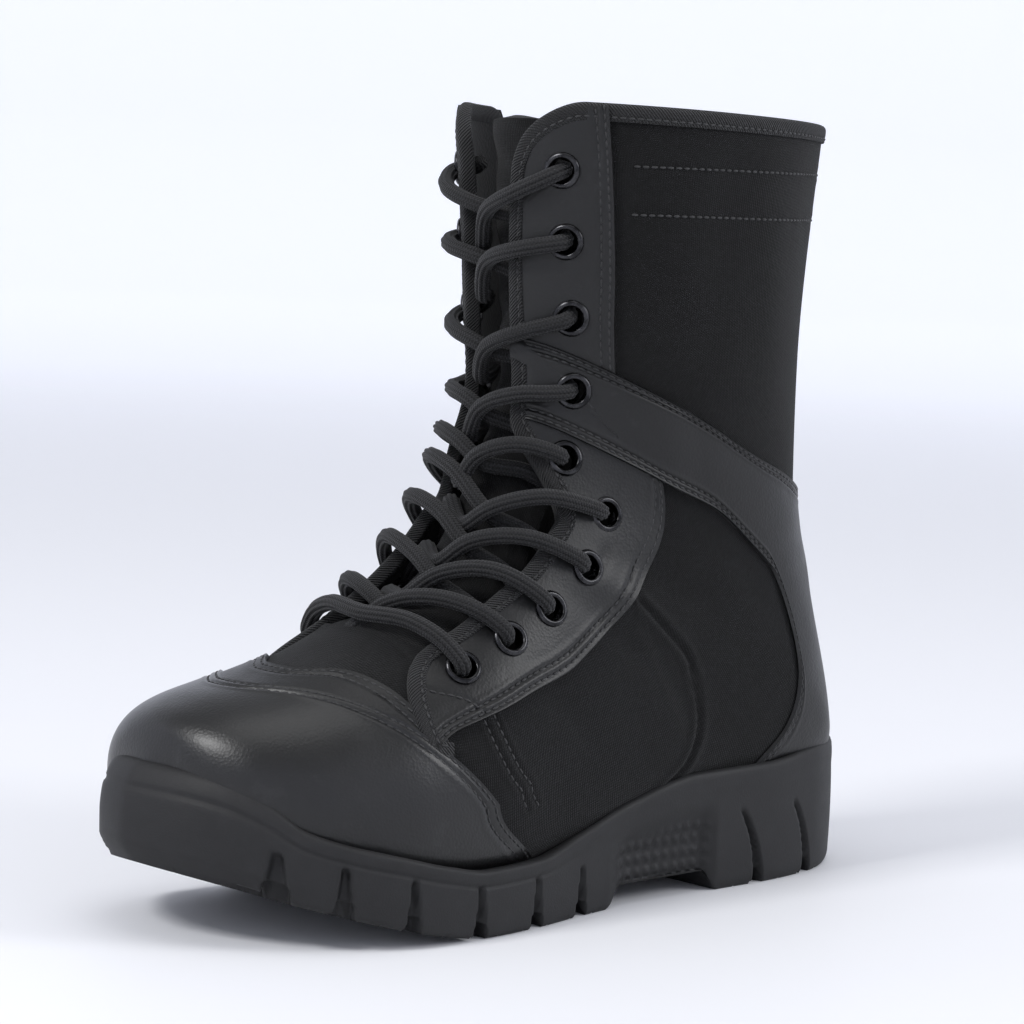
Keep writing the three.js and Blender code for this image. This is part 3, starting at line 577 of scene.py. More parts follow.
def lining_finish():
    f = Finish("soft_lining", Roughness=0.98, Sheen_Weight=0.1, Specular_IOR_Level=0.2)
    knit = f.cells(f.place(0.0011))
    clouds = f.noise(f.place(0.02), 3.0)
    f.set("Base Color", f.mix((knit * 0.6 + clouds * 0.4).band(0.2, 0.8), grey(0.003), grey(0.009)))
    return f.bump(knit, 0.0002, 0.6).material


def binding_finish():
    f = Finish("ribbed_tape", Roughness=0.82, Sheen_Weight=0.08, Specular_IOR_Level=0.35)
    x, y, _ = f.parts(f.along(0.001))
    rib = ((x + y * 0.9) * (math.pi * 2 / 1.15)).sin()
    cross = ((x * 0.8 - y) * (math.pi * 2 / 0.8)).sin()
    # Painted shade: the tape's colour follows its ribs, darker in the troughs between them and lighter
    # on their crests.
    f.set("Base Color", f.mix((rib * 0.5 + 0.5).band(0, 1), grey(0.0035), grey(0.011)))
    return f.bump(rib * 0.8 + cross * 0.15, 0.0004, 0.9).material


def lace_finish():
    f = Finish("braided_cord", Roughness=0.78, Sheen_Weight=0.08, Specular_IOR_Level=0.25)
    x, y, _ = f.parts(f.along(0.001))
    turns = math.pi * 2 / 1.1
    braid = ((x + y * 0.6) * turns).sin() * 0.5 + ((x - y * 0.6) * turns).sin() * 0.5
    rib = (y * (LACE_RIBS / (2 * LACE_RADIUS * 1.04))).sin().abs()
    fluff = f.noise(f.place(0.0006), 2.0)
    # The rib term paints shade into the grooves between the cord's ribs: the colour is darker there and
    # lighter on the crests.
    light = (braid * 0.25 + fluff * 0.4 + rib * 0.6).band(0.1, 1.0)
    f.set("Base Color", f.mix(light, grey(0.003), grey(0.017)))
    return f.bump(braid * 0.5 + fluff * 0.4 + rib * 0.9, 0.0003, 0.8).material


def rubber_finish():
    f = Finish("moulded_rubber", Specular_IOR_Level=0.3)
    clouds = f.noise(f.place(0.03), 4.0, 0.6)
    stipple = f.noise(f.place(0.0006), 2.0)
    dust = f.noise(f.place(0.008), 5.0, 0.7)
    f.set("Base Color", f.mix((clouds * 0.6 + dust * 0.4).band(0.3, 0.7), grey(0.0095), grey(0.0145)))
    f.set("Roughness", clouds.band(0.3, 0.7, 0.5, 0.6) + stipple * 0.08)
    return f.bump(stipple + dust * 0.4, 0.00012, 0.6).material


def metal_finish(name="black_nickel", dark=0.018, light=0.05, rough=0.2):
    f = Finish(name, Metallic=1.0)
    clouds = f.noise(f.place(0.004), 3.0)
    f.set("Base Color", f.mix(clouds.band(0.3, 0.7), grey(dark), grey(light)))
    f.set("Roughness", clouds.band(0.3, 0.7, rough, rough + 0.12))
    return f.material


def thread_finish():
    f = Finish("thread", Roughness=0.6, Sheen_Weight=0.05)
    twist = f.noise(f.place(0.0003), 2.0)
    f.set("Base Color", f.mix(twist, grey(0.005), grey(0.018)))
    return f.material


HIDE, TOE_HIDE = leather_finish(), leather_finish("polished_leather", 0.25, 0.2, 0.05)
CLOTH, LINING, TAPE, CORD = cloth_finish(), lining_finish(), binding_finish(), lace_finish()
RUBBER, RING, THREAD = rubber_finish(), metal_finish(), thread_finish()
ZIP_METAL = metal_finish("zip_metal", 0.10, 0.2, 0.28)

# Edges of the front opening, with the tongue behind it
throat_at = curve_of([
    # station outer inner
    [0.000, 0.000, 0.000],
    [0.336, 0.000, 0.000],
    [0.346, 0.120, -0.095],
    [0.362, 0.170, -0.145],
    [0.40,  0.190, -0.165],
    [0.45,  0.205, -0.180],
    [0.53,  0.237, -0.205],
    [0.573, 0.245, -0.215],
    [0.61,  0.250, -0.235],
    [0.628, 0.225, -0.222],
    [0.642, 0.120, -0.158],
    [0.655, 0.096, -0.145],
    [0.70,  0.078, -0.140],
    [0.78,  0.055, -0.135],
    [0.88,  0.040, -0.130],
    [0.94,  0.045, -0.135],
    [0.965, 0.065, -0.150],
    [0.985, 0.110, -0.185],
    [1.00,  0.20, -0.25],
])
zip_line = curve_of([
    # station v
    [0.69, -0.455],
    [0.74, -0.418],
    [0.80, -0.422],
    [0.90, -0.440],
    [1.00, -0.455],
])
# Sewn lines on the cloth, as (station, v): the outer quarter's panel seam, the row from the
# facing to the toe cap, the same on the inner side, and the rows that hold the strap inside. Each
# has its depth and width, and those 1 mm deep hide their thread.
cloth_seams = [
    ([[0.645, 0.392], [0.665, 0.481], [0.655, 0.514], [0.628, 0.600], [0.600, 0.660]], 1.0, 1.6),
    ([[0.390, 0.353], [0.398, 0.397], [0.417, 0.464], [0.443, 0.517]], 0.45, 1.1),
    ([[0.405, 0.353], [0.413, 0.397], [0.432, 0.464], [0.458, 0.517]], 0.45, 1.1),
    ([[0.645, -0.392], [0.655, -0.481], [0.645, -0.514], [0.615, -0.600]], 1.0, 1.6),
    ([[0.390, -0.353], [0.398, -0.397], [0.417, -0.464], [0.443, -0.517]], 0.45, 1.1),
    *(([[station_at(height, v), v] for v in np.linspace(0.29, 1.0, 9)], 0.3, 1.0)
      for height in STRAP_ROWS),
    ([[0.715, -0.389], [0.76, -0.384], [0.82, -0.389], [0.90, -0.404], [0.96, -0.414]], 0.45, 1.1),
    ([[0.715, -0.452], [0.76, -0.451], [0.82, -0.457], [0.90, -0.475], [0.96, -0.486]], 0.45, 1.1),
]


# Eyelets, from the top down
eyelet_rows = [
    # outer station, v  inner station, v
    [0.950, 0.156, 0.955, -0.238],
    [0.893, 0.167, 0.905, -0.240],
    [0.823, 0.186, 0.838, -0.246],
    [0.750, 0.194, 0.773, -0.250],
    [0.670, 0.206, 0.703, -0.252],
    [0.667, 0.294, 0.667, -0.300],
    [0.603, 0.314, 0.597, -0.302],
    [0.530, 0.306, 0.522, -0.290],
    [0.458, 0.281, 0.452, -0.268],
    [0.385, 0.256, 0.380, -0.245],
]


def pierce(mesh, size):
    """Opens a sheet in a circle of this radius in millimetres under the flange of each eyelet."""
    form = bmesh.new()
    form.from_mesh(mesh)
    form.faces.ensure_lookup_table()
    centres = np.array([face.calc_center_median() for face in form.faces]) * 1000
    opened = np.zeros(len(centres), bool)
    for rows in eyelet_rows:
        for place in (rows[:2], rows[2:]):
            away, axis = centres - skin(*place), outward(*place)
            depth = away @ axis
            opened |= (np.sum(away ** 2, axis=1) - depth ** 2 < size ** 2) & (np.abs(depth) < 12)
    bmesh.ops.delete(form, geom=[form.faces[k] for k in np.flatnonzero(opened)], context="FACES")
    form.to_mesh(mesh)
    form.free()
    return mesh


def collar_end(v):
    """Station of the collar's edge, which dips at the zip."""
    turned = np.where(v > 1, v - 2, v)
    return 1.0 - 0.028 * ease((0.062 - np.abs(turned + 0.455)) / 0.034)


def upper_piece():
    stations = np.unique(np.round(np.concatenate([
        np.linspace(-NOSE, 0.32, 62), np.linspace(0.32, 0.38, 24), np.linspace(0.38, 0.6, 72),
        np.linspace(0.6, 0.67, 30), np.linspace(0.67, 0.93, 92), np.linspace(0.93, 1, 32)]), 6))
    long, wide = len(stations) - 1, 232
    lines = []
    for rows, depth, width in cloth_seams:
        places = line_through(rows)(np.linspace(0, 1, 61))
        lines.append((on_last(*places), depth, width))
        if depth < 1:
            seams.append((skin(*places, 0.1 - depth), outward(*places)))

    def place(s, w):
        station = stations[np.rint(s * long).astype(int)]
        row = throat_at(station)
        v = row[..., 1] + (2 + row[..., 2] - row[..., 1]) * w
        station = np.minimum(station, collar_end(v))
        beside = (v - 2 - zip_line(station)[..., 1]) / 0.022
        groove = np.exp(-beside ** 4) * ease((station - 0.685) / 0.01)
        flat = on_last(station, v)
        lift = -1.6 * groove
        for line, depth, width in lines:
            away = near_line(flat.reshape(-1, 3), line).reshape(station.shape)
            lift = lift - depth * np.exp(-(away / (width * 0.6)) ** 2)
            lift = lift + 0.5 * depth * np.exp(-((away - width * 1.6) / width) ** 2)
        return skin(station, v, lift)
    mesh = pierce(grid_mesh(place, long, wide, merge=True), 5.4)
    place_mesh("upper_cloth", mesh, CLOTH, replaces=["upper"])


def lining_piece():
    """The inside of the upper, which faces the foot."""
    def place(s, w):
        station = -NOSE + (1 + NOSE) * s
        row = throat_at(station)
        v = row[..., 1] + (2 + row[..., 2] - row[..., 1]) * w
        return skin(np.minimum(station, collar_end(v)), v, -WALL)
    mesh = pierce(grid_mesh(place, 170, 130, merge=True), 6)
    mesh.flip_normals()
    place_mesh("upper_lining", mesh, LINING)


upper_piece()
lining_piece()

# Tongue, from the vamp up under the laces
tongue_depth = curve_of([
    # station depth under the upper's outside
    [0.320, 0.10],
    [0.345, 0.30],
    [0.365, 2.4],
    [0.395, 6.2],
    [0.440, 9.6],
    [1.000, 10.4],
])


def tongue_piece():
    def place(s, w):
        station = 0.318 + 0.667 * s
        v = (-0.25 + 0.51 * w) * np.minimum(1, 0.7 + 0.5 * (1 - station))
        v = v * (0.62 + 0.38 * ease((station - 0.32) / 0.12))
        crown = 2.2 * (np.cos((w - 0.5) * np.pi) - 0.5) * ease((station - 0.38) / 0.1)
        waves = 0.7 * np.sin(station * 130 + 3 * w) * np.sin(7 * w + station * 40)
        sewn = -0.5 * bell(np.minimum(w, 1 - w) - 0.10, 0.012)
        loose = ease((station - 0.4) / 0.1)
        return skin(station, v, -tongue_depth(station)[..., 1] + crown + (waves + sewn) * loose)
    mesh = grid_mesh(place, 170, 50)
    add_wall(place_mesh("tongue_cloth", mesh, CLOTH, replaces=["tongue"]), 3.8, 1.2)


tongue_piece()


def insole_piece():
    def place(s, w):
        return skin(0.03 + 0.68 * s, 0.78 + 0.44 * w, -WALL - GAP - 4)
    mesh = grid_mesh(place, 100, 30, middle=lambda points: points * [1, 1, 0])
    add_wall(place_mesh("insole_cloth", mesh, LINING, replaces=["insole"]), 3.6)


insole_piece()

# Leather overlays. These tables hold the lines of their edges.
toe_half = [
    # v station, of the toe cap's rear edge from the ridge down to the sole
    [0, 0.171], [0.03, 0.173], [0.06, 0.180], [0.106, 0.199], [0.192, 0.238], [0.292, 0.285],
    [0.383, 0.331], [0.458, 0.372], [0.49, 0.389], [0.52, 0.403], [0.56, 0.4195], [0.60, 0.433],
    [0.65, 0.446], [0.70, 0.456], [0.85, 0.48],
]
crescent_half = [
    # v station, of the rear edge of the piece behind it
    [0, 0.231], [0.03, 0.233], [0.06, 0.242], [0.11, 0.266], [0.20, 0.290], [0.28, 0.308],
    [0.34, 0.326], [0.37, 0.338], [0.40, 0.345],
]
toe_edge, crescent_edge = (curve_of([[-v, t] for v, t in half[:0:-1]] + half)
                           for half in (toe_half, crescent_half))
outer_edge = [
    # station v, from the quarter's front end up the throat to the collar
    [0.335, 0.392], [0.312, 0.372], [0.304, 0.325], [0.306, 0.275], [0.315, 0.228], [0.332, 0.192],
    [0.352, 0.178], [0.372, 0.180], [0.400, 0.190], [0.450, 0.205], [0.530, 0.237], [0.573, 0.245],
    [0.605, 0.246], [0.622, 0.215], [0.636, 0.140], [0.655, 0.096], [0.700, 0.078], [0.780, 0.055],
    [0.880, 0.040], [0.940, 0.045], [0.965, 0.065], [0.985, 0.110], [1.000, 0.200],
]
inner_edge = [
    # station v
    [0.335, -0.392], [0.312, -0.372], [0.304, -0.325], [0.305, -0.275], [0.313, -0.222],
    [0.328, -0.178], [0.346, -0.158], [0.368, -0.155], [0.400, -0.165], [0.450, -0.180],
    [0.530, -0.205], [0.573, -0.215], [0.605, -0.232], [0.622, -0.215], [0.636, -0.170],
    [0.655, -0.145], [0.700, -0.140], [0.780, -0.135], [0.880, -0.130], [0.940, -0.135],
    [0.965, -0.150], [0.985, -0.185], [1.000, -0.250],
]
stay_rear = [
    # station v
    [0.322, 0.352], [0.350, 0.349], [0.390, 0.354], [0.453, 0.369], [0.540, 0.392], [0.600, 0.390],
    [0.630, 0.386], [0.693, 0.367], [0.740, 0.350],
]
band_rows = [
    # upper station, v    lower station, v
    [0.772, 0.057, 0.662, 0.092],
    [0.780, 0.130, 0.690, 0.170],
    [0.795, 0.267, 0.740, 0.342],
    [0.815, 0.422, 0.768, 0.478],
    [0.832, 0.560, 0.771, 0.560],
    [0.845, 0.660, 0.755, 0.590],
    [0.852, 0.740, 0.728, 0.600],
    [0.857, 0.820, 0.698, 0.645],
    [0.859, 0.900, 0.675, 0.740],
    [0.860, 1.000, 0.660, 1.000],
]


def mirrored(rows):
    return [[t, -v] for t, v in rows]


def across_toe(curve, reach, move=0.0):
    return line_through([[float(curve(v)[1]) + move, v] for v in np.linspace(-reach, reach, 41)])


def band_lift(station, v):
    """The band lies over the facings in front and flat on the cloth behind them. Its front end
    tucks under the binding."""
    turned = np.where(v > 1, 2 - v, v)
    behind = ease((turned - 0.36) / 0.08)
    from_edge = (v - throat_at(station)[..., 1]) * 165
    return TOP - 0.3 + 1.4 * (1 - behind) * ease((from_edge - 4.6) / 1.6) + 0.3 * behind


leather_panel("crescent_leather", across_toe(toe_edge, 0.36, -0.012), across_toe(crescent_edge, 0.36),
              "vamp_crescent", [("b", 1.4), ("b", 4.0)], "b",
              lambda t, v: TOP - 0.35 + 0 * t)
leather_panel("toe_cap_leather", line_through([[-0.019, v] for v in np.linspace(-0.85, 0.85, 41)]),
              across_toe(toe_edge, 0.85), "toe_cap", [("b", 1.3), ("b", 4.6)], "b",
              lambda t, v: TOP + 0.25 + 0 * t, step=1.8)
bpy.data.objects["toe_cap_leather"].data.materials[0] = TOE_HIDE
leather_panel("outer_facing_lower", line_through(outer_edge[1:18] + [[0.745, 0.062]]),
              line_through([[0.318, 0.362]] + stay_rear[1:]), "eyestay_lateral_lower",
              [("b", 1.5), ("b", 4.4)], "b",
              sewn=[[[0.318, 0.222], [0.338, 0.262], [0.358, 0.288], [0.378, 0.318], [0.389, 0.345]]])
leather_panel("outer_facing_upper",
              line_through([[0.758, 0.060], [0.88, 0.040], [0.94, 0.045], [0.965, 0.065],
                            [0.985, 0.110], [1.0, 0.190]]),
              line_through([[0.780, 0.272], [0.86, 0.268], [0.92, 0.259], [1.0, 0.240]]),
              "eyestay_lateral_upper", [("b", 1.5), ("b", 4.4)], "b")
leather_panel("inner_facing", line_through(inner_edge[1:-1] + [[1.0, -0.240]]),
              line_through([[0.318, -0.362]] + mirrored(stay_rear[1:8])
                           + [[0.745, -0.330], [0.82, -0.312], [0.92, -0.300], [1.0, -0.288]]),
              "eyestay_medial", [("b", 1.5), ("b", 4.4)], "b")
wrapped = band_rows + [[a, 2 - b, c, 2 - d] for a, b, c, d in band_rows[3:-1][::-1]]
leather_panel("heel_band_leather", line_through([r[:2] for r in wrapped]),
              line_through([r[2:] for r in wrapped]), "heel_band",
              [("a", 1.4), ("a", 4.0), ("b", 1.4), ("b", 4.0)], "ab", band_lift, step=1.7)


def binding_piece():
    """Tape folded over the edge of the quarters, the throat and the collar."""
    back = [[1.0, v] for v in (0.3, 0.5, 0.7, 0.85, 1.0, 1.15, 1.3, 1.44)]
    dip = [[0.998, 1.470], [0.990, 1.487], [0.976, 1.500], [0.972, 1.515], [0.971, 1.545],
           [0.972, 1.575], [0.976, 1.590], [0.990, 1.603], [0.998, 1.620], [1.0, 1.645], [1.0, 1.70]]
    line = line_through(outer_edge + back + dip + [[t, 2 + v] for t, v in inner_edge[::-1]])
    long = int(line.length / 1.1)
    # Across the tape: distance in from the edge, and height above the cloth.
    profile = curve_of([
        [0.00, 4.9, TOP - 1.0], [0.06, 5.0, TOP + 0.05], [0.14, 4.3, TOP + 0.38],
        [0.26, 2.6, TOP + 0.42], [0.38, 0.9, TOP + 0.40], [0.46, -0.3, TOP + 0.05],
        [0.52, -0.95, TOP - 0.9], [0.58, -1.05, -0.4],
        [0.66, -0.9, -WALL + 0.2], [0.74, -0.1, -WALL - 0.7], [0.86, 2.4, -WALL - 0.8],
        [1.00, 5.0, -WALL - 0.1],
    ])

    def place(s, w):
        station, v = line(s)
        ahead, behind = line(np.minimum(s + 0.0015, 1)), line(np.maximum(s - 0.0015, 0))
        run = on_last(*ahead) - on_last(*behind)
        normal = outward(station, v)
        inward = np.cross(run / np.linalg.norm(run, axis=-1, keepdims=True), normal)
        across, up = np.moveaxis(profile(w)[..., 1:], -1, 0)
        collar = ease((station - 0.95) / 0.03) * ease((0.82 - np.abs(v - 1.0)) / 0.06)
        up = up - 0.9 * collar * (w < 0.55)
        sewn = -0.35 * bell(across - 3.5, 0.5) * (w < 0.4)
        return skin(station, v) + inward * across[..., None] + normal * (up + sewn)[..., None]

    mesh = grid_mesh(place, long, 24)
    shares = np.linspace(0.002, 0.998, 900)
    rows = place(shares[:, None], np.full((900, 1), 0.195))[:, 0]
    seams.append((rows, outward(*line(shares))))
    place_mesh("edge_binding", mesh, TAPE, replaces=["binding"])


binding_piece()

# Sole
sole_rows = curve_of([
    # along outer  inner   lip   lean tread
    [0.000, 0.008, -0.008, 46.5, 2.5, 1.6],
    [0.006, 0.130, -0.130, 46.5, 2.5, 1.4],
    [0.026, 0.220, -0.220, 46.3, 2.4, 0.8],
    [0.060, 0.290, -0.290, 46.0, 2.2, 0.2],
    [0.110, 0.345, -0.335, 45.5, 2.0, 0],
    [0.200, 0.380, -0.360, 43.0, 1.8, 0],
    [0.320, 0.388, -0.352, 42.5, 1.8, 0],
    [0.430, 0.400, -0.348, 36.0, 1.8, 0],
    [0.520, 0.436, -0.362, 28.5, 1.8, 0],
    [0.600, 0.480, -0.402, 23.0, 1.8, 0],
    [0.680, 0.504, -0.448, 22.5, 1.8, 0.2],
    [0.740, 0.508, -0.478, 25.5, 1.8, 2.6],
    [0.800, 0.488, -0.496, 30.0, 2.0, 6.6],
    [0.855, 0.430, -0.496, 34.0, 2.6, 11.0],
    [0.895, 0.360, -0.470, 38.5, 3.6, 14.6],
    [0.925, 0.290, -0.432, 46.5, 4.8, 17.6],
    [0.955, 0.196, -0.372, 52.5, 6.0, 20.6],
    [0.980, 0.086, -0.286, 55.0, 7.0, 23.0],
    [0.994, -0.020, -0.190, 55.6, 7.4, 24.4],
    [1.000, -0.104, -0.120, 55.8, 7.5, 24.8],
])
groove_rows = [
    # along side turn height bend, of the notches between the lugs and up the wall
    [0.905, 1, 14, 13, 0], [0.858, 1, 10, 14, 0], [0.788, 1, 6, 15, 0], [0.695, 1, 0, 15, 0],
    [0.603, 1, -4, 15, 0], [0.522, 1, -8, 15, 0],
    [0.905, -1, 14, 13, 0], [0.850, -1, 10, 14, 0], [0.776, -1, 6, 15, 0], [0.690, -1, 0, 15, 0],
    [0.600, -1, -4, 15, 0], [0.522, -1, -8, 15, 0],
] + [[along, side, turn, 26, 0.013] for side in (1, -1) for along, turn in ((0.212, 6), (0.112, 10))]
wall_shape = curve_of([
    # height out  share of the lean
    [0.00, -1.5, 0.0], [0.03, -0.7, 0.0], [0.08, -0.3, 0.0], [0.45, 0.0, 0.0], [0.66, -0.1, 0.10],
    [0.78, -0.2, 0.30], [0.86, 0.0, 0.52], [0.94, -0.1, 0.78],
    [0.975, -0.5, 0.92], [1.00, -1.6, 1.0],
])
TREAD_ROWS, WALL_ROWS, CUP_ROWS = 34, 40, 4


def arch(along):
    return ARCH_HEIGHT * ease((along - 0.284) / 0.022) * ease((0.472 - along) / 0.026)


def notch(px, py, rise):
    """How deep a place lies in the notches between the lugs. They narrow up the wall."""
    depth = np.zeros_like(px)
    for along, side, turn, tall, bend in groove_rows:
        off = px - at_x(along) + math.tan(math.radians(turn)) * (side * py - 50) - bend * rise ** 2
        up = np.clip(rise / (tall + 3), 0, 1)
        half = 2.7 - 1.9 * up ** 0.7
        mask = ease((half + 0.35 - np.abs(off)) / 0.8) * (py * side > 0) * (1 - ease((up - 0.8) / 0.2))
        depth = np.maximum(depth, mask)
    return depth


def sole_outline(count):
    """The sole's outline as an even loop, and its outward directions."""
    share = (1 - np.cos(np.linspace(0, np.pi, 501))) / 2
    row = sole_rows(share)
    outer, inner = (np.column_stack([share, row[:, k]]) for k in (1, 2))
    loop = np.concatenate([outer, inner[::-1]])
    x, y = at_x(loop[:, 0]), loop[:, 1] * BALL_WIDTH
    keep = np.append(np.hypot(np.diff(x), np.diff(y)) > 1e-6, True)
    ring = np.column_stack([x[keep], y[keep]])
    ring = np.concatenate([ring, ring[:1]])
    run = run_of(ring)
    line = soften(places_on(ring, run, np.linspace(0, run[-1], 4001)[:-1]), 40, 16.0, closed=True)
    run = (np.roll(line, -4, axis=0) - np.roll(line, 4, axis=0))
    normal = np.column_stack([run[:, 1], -run[:, 0]]) / np.linalg.norm(run, axis=1)[:, None]
    if np.mean(np.sum(normal * (line - [100, 0]), axis=1)) < 0:
        normal = -normal
    pick = np.linspace(0, 4000, count + 1).astype(int)[:-1]
    return line[pick], normal[pick]


def sole_piece():
    count = 900
    line, normal = sole_outline(count)
    along = (line[:, 0] + HEEL_BACK) / SOLE_LENGTH
    lip, lean, tread = sole_rows(along)[:, 3:].T
    t, v = np.meshgrid(np.linspace(0, 0.78, 300), np.linspace(-1, 1, 500), indexing="ij")
    cover = skin(t, v, TOP - 0.4).reshape(-1, 3)
    reach = np.empty(count)     # from the outline in to the leather, at the height of the lip
    for k in range(count):
        level = cover[np.abs(cover[:, 2] - lip[k]) < 1.6]
        reach[k] = np.sqrt(np.min(np.sum((level[:, :2] - line[k]) ** 2, axis=1)))
    reach = np.convolve(np.concatenate([reach[-6:], reach, reach[:6]]), np.ones(13) / 13, "valid")
    spine_x = np.clip(line[:, 0], at_x(0.13), at_x(0.86))
    spine_row = sole_rows((spine_x + HEEL_BACK) / SOLE_LENGTH)
    spine = np.column_stack([spine_x, (spine_row[:, 1] + spine_row[:, 2]) / 2 * BALL_WIDTH])
    total = TREAD_ROWS + WALL_ROWS + CUP_ROWS
    low_notch = notch(line[:, 0], line[:, 1], 0)
    toe_in = 2.6 * ease((along - 0.915) / 0.02)

    def under(i, j):
        share = np.clip(j / TREAD_ROWS, 0, 1) ** 0.8
        edge = line[i] - normal[i] * (1.5 + toe_in[i] + NOTCH_IN * low_notch[i])[..., None]
        flat = spine[i] + (edge - spine[i]) * share[..., None]
        px, py = flat[..., 0], flat[..., 1]
        place = (px + HEEL_BACK) / SOLE_LENGTH
        cut = notch(px, py, 0) * ease((np.abs(py - spine[i][..., 1]) - 8.2) / 1.6)
        sipe = 0.8 * ease((0.5 - np.abs(np.mod(px - py * 0.3, 12) - 6)) / 0.4)
        sipe = sipe * ease((share - 0.3) / 0.1)
        level = sole_rows(place)[..., 5]
        rise = np.maximum(np.maximum(cut * LUG_DEPTH, sipe), arch(place))
        return np.stack([px, py, level + rise], -1)

    def wall(i, j):
        height = np.clip((j - TREAD_ROWS) / WALL_ROWS, 0, 1)
        _, out, lean_share = np.moveaxis(wall_shape(height), -1, 0)
        rise = height * (lip[i] - tread[i])
        px, py = line[i][..., 0], line[i][..., 1]
        deep = notch(px, py, rise)
        out = out - 0.6 * bell(height - 0.76, 0.022) * ease((along[i] - 0.5) / 0.12)
        waist = ease((along[i] - 0.285) / 0.03) * ease((0.475 - along[i]) / 0.05)
        waist_in = waist * (1 - ease((height - 0.45) / 0.35)) * 3.6
        run = px * 0.97
        half = STUD_PITCH / 2
        stud = np.maximum(np.abs(np.mod(run, STUD_PITCH) - half),
                          np.abs(np.mod(rise + 1.2, STUD_PITCH) - half)) / half
        studs = waist * ease((0.62 - height) / 0.06) * ease((height - 0.12) / 0.06) * (1 - stud) * 1.3
        under_toe = toe_in[i] * (1 - height / 0.17).clip(0, 1)
        layers = (toe_in[i] > 0.5) * (height < 0.2) * 0.3 * np.abs(np.sin(rise * math.pi / 1.5))
        move = (out - lean_share * (lean[i] - WALL_LEAN) - NOTCH_IN * deep - waist_in + studs - layers
                - under_toe)
        base = tread[i] + np.maximum(low_notch[i] * LUG_DEPTH, arch(along[i]))
        z = np.maximum(tread[i] + rise, base + 0.02 * (j - TREAD_ROWS))
        flat = line[i] + normal[i] * move[..., None]
        return np.concatenate([flat, z[..., None]], -1)

    def cup(i, j):
        inside = np.clip((j - TREAD_ROWS - WALL_ROWS) / CUP_ROWS, 0, 1)
        move = -lean[i] - np.maximum(reach[i] - lean[i] + 0.8, 0.8) * inside
        drop = 0.5 * inside + 2.0 * ease((inside - 0.7) / 0.3)
        flat = line[i] + normal[i] * move[..., None]
        return np.concatenate([flat, (lip[i] - drop)[..., None]], -1)

    def place(s, w):
        i = np.rint(s * count).astype(int) % count
        j = np.rint(w * total).astype(int)
        points = np.where((j > TREAD_ROWS)[..., None], wall(i, j), under(i, j))
        return np.where((j > TREAD_ROWS + WALL_ROWS)[..., None], cup(i, j), points)

    def spine_of(points):
        x = points[:, 0]
        return np.stack([np.clip(x, 0, 215), 0 * x, 0 * x + 26], -1)
    mesh = grid_mesh(place, count, total, merge=True, middle=spine_of)
    place_mesh("sole_rubber", mesh, RUBBER, replaces=["outsole"])


sole_piece()

# Eyelets
FOOT = TOP + 2 * GAP


def surface_turn(station, v, out=0.0):
    """Matrix in metres of a place on the boot: z outwards and y down the boot."""
    origin, z = skin(station, v, out), outward(station, v)
    y = on_last(station - 0.01, v) - on_last(station + 0.01, v)
    y = y - z * np.dot(y, z)
    y /= np.linalg.norm(y)
    x = np.cross(y, z)
    return in_metres(x, y, z, origin)


def eyelet_piece(name, station, v, node, lift):
    """A ring with a rolled flange, spun from its section."""
    inner, outer = EYELET_INNER, EYELET_OUTER
    section = [(inner, -WALL - GAP), (inner, FOOT - 0.3), (inner + 0.12, FOOT + 0.35),
               (inner + 0.45, FOOT + 0.75), (inner + 0.95, FOOT + 0.92), (inner + 1.45, FOOT + 0.78),
               (outer - 0.25, FOOT + 0.42), (outer, FOOT - 0.05), (outer - 0.12, FOOT - 0.5),
               (inner + 0.6, FOOT - 0.5), (inner + 0.6, -WALL - GAP)]
    form = spun([(r, h + lift) for r, h in section], 40, closed=True)
    bmesh.ops.recalc_face_normals(form, faces=form.faces)
    bmesh.ops.transform(form, matrix=surface_turn(station, v), verts=form.verts)
    place_mesh(name, form, RING, replaces=[node])


for n, rows in enumerate(eyelet_rows, 1):
    on_band = n == 4
    eyelet_piece(f"ring_outer_{n}", *rows[:2], f"eyelet_outer_{n}", 1.0 if on_band else -0.3)
    eyelet_piece(f"ring_inner_{n}", *rows[2:], f"eyelet_inner_{n}", -0.3)

# Lace: one cord through every eyelet. These are the places where its two strands cross.
crossing_rows = [
    # station v
    [0.906, -0.020], [0.853, -0.020], [0.745, -0.010], [0.650, 0.005], [0.580, 0.035],
    [0.530, 0.110], [0.480, 0.100], [0.430, 0.080], [0.372, 0.030],
]
OVER = TOP + GAP + LACE_RADIUS + 0.2
UNDER = -WALL - LACE_RADIUS - 0.9


def eyelet_place(i, side):
    return eyelet_rows[i][:2] if side > 0 else eyelet_rows[i][2:]


def lace_point(a, b, share, out):
    return skin(a[0] + (b[0] - a[0]) * share, a[1] + (b[1] - a[1]) * share, out)


def lace_strand(i, side):
    """From under eyelet i + 1 on the other side, over the tongue, to eyelet i on this side. The
    strand to the outer side comes up from the toe and lies on top. The other bows over to its side."""
    start, middle, end = eyelet_place(i + 1, -side), crossing_rows[i], eyelet_place(i, side)
    hidden = [lace_point(start, middle, 0.035, -WALL - 1.0),
              lace_point(start, middle, 0.14, UNDER - 0.3)]
    reach = lace_point(end, middle, 0.04, TOP + 0.8)
    if side > 0:
        low = [middle[0] - 0.030, middle[1] - 0.055]
        return hidden + [lace_point(low, start, 0.45, UNDER), lace_point(low, low, 0, -1.8),
                         lace_point(middle, middle, 0, 2.4), lace_point(middle, end, 0.5, OVER + 1.4),
                         lace_point(end, middle, 0.22, OVER + 0.4), reach]
    far = [middle[0] + 0.18 * (end[0] - middle[0]), middle[1] * 0.4 - 0.055]
    return hidden + [lace_point(middle, start, 0.45, UNDER), lace_point(middle, middle, 0, -2.8),
                     lace_point(far, far, 0, 1.6), lace_point(far, end, 0.5, OVER + 1.6),
                     lace_point(end, far, 0.2, OVER + 0.4), reach]


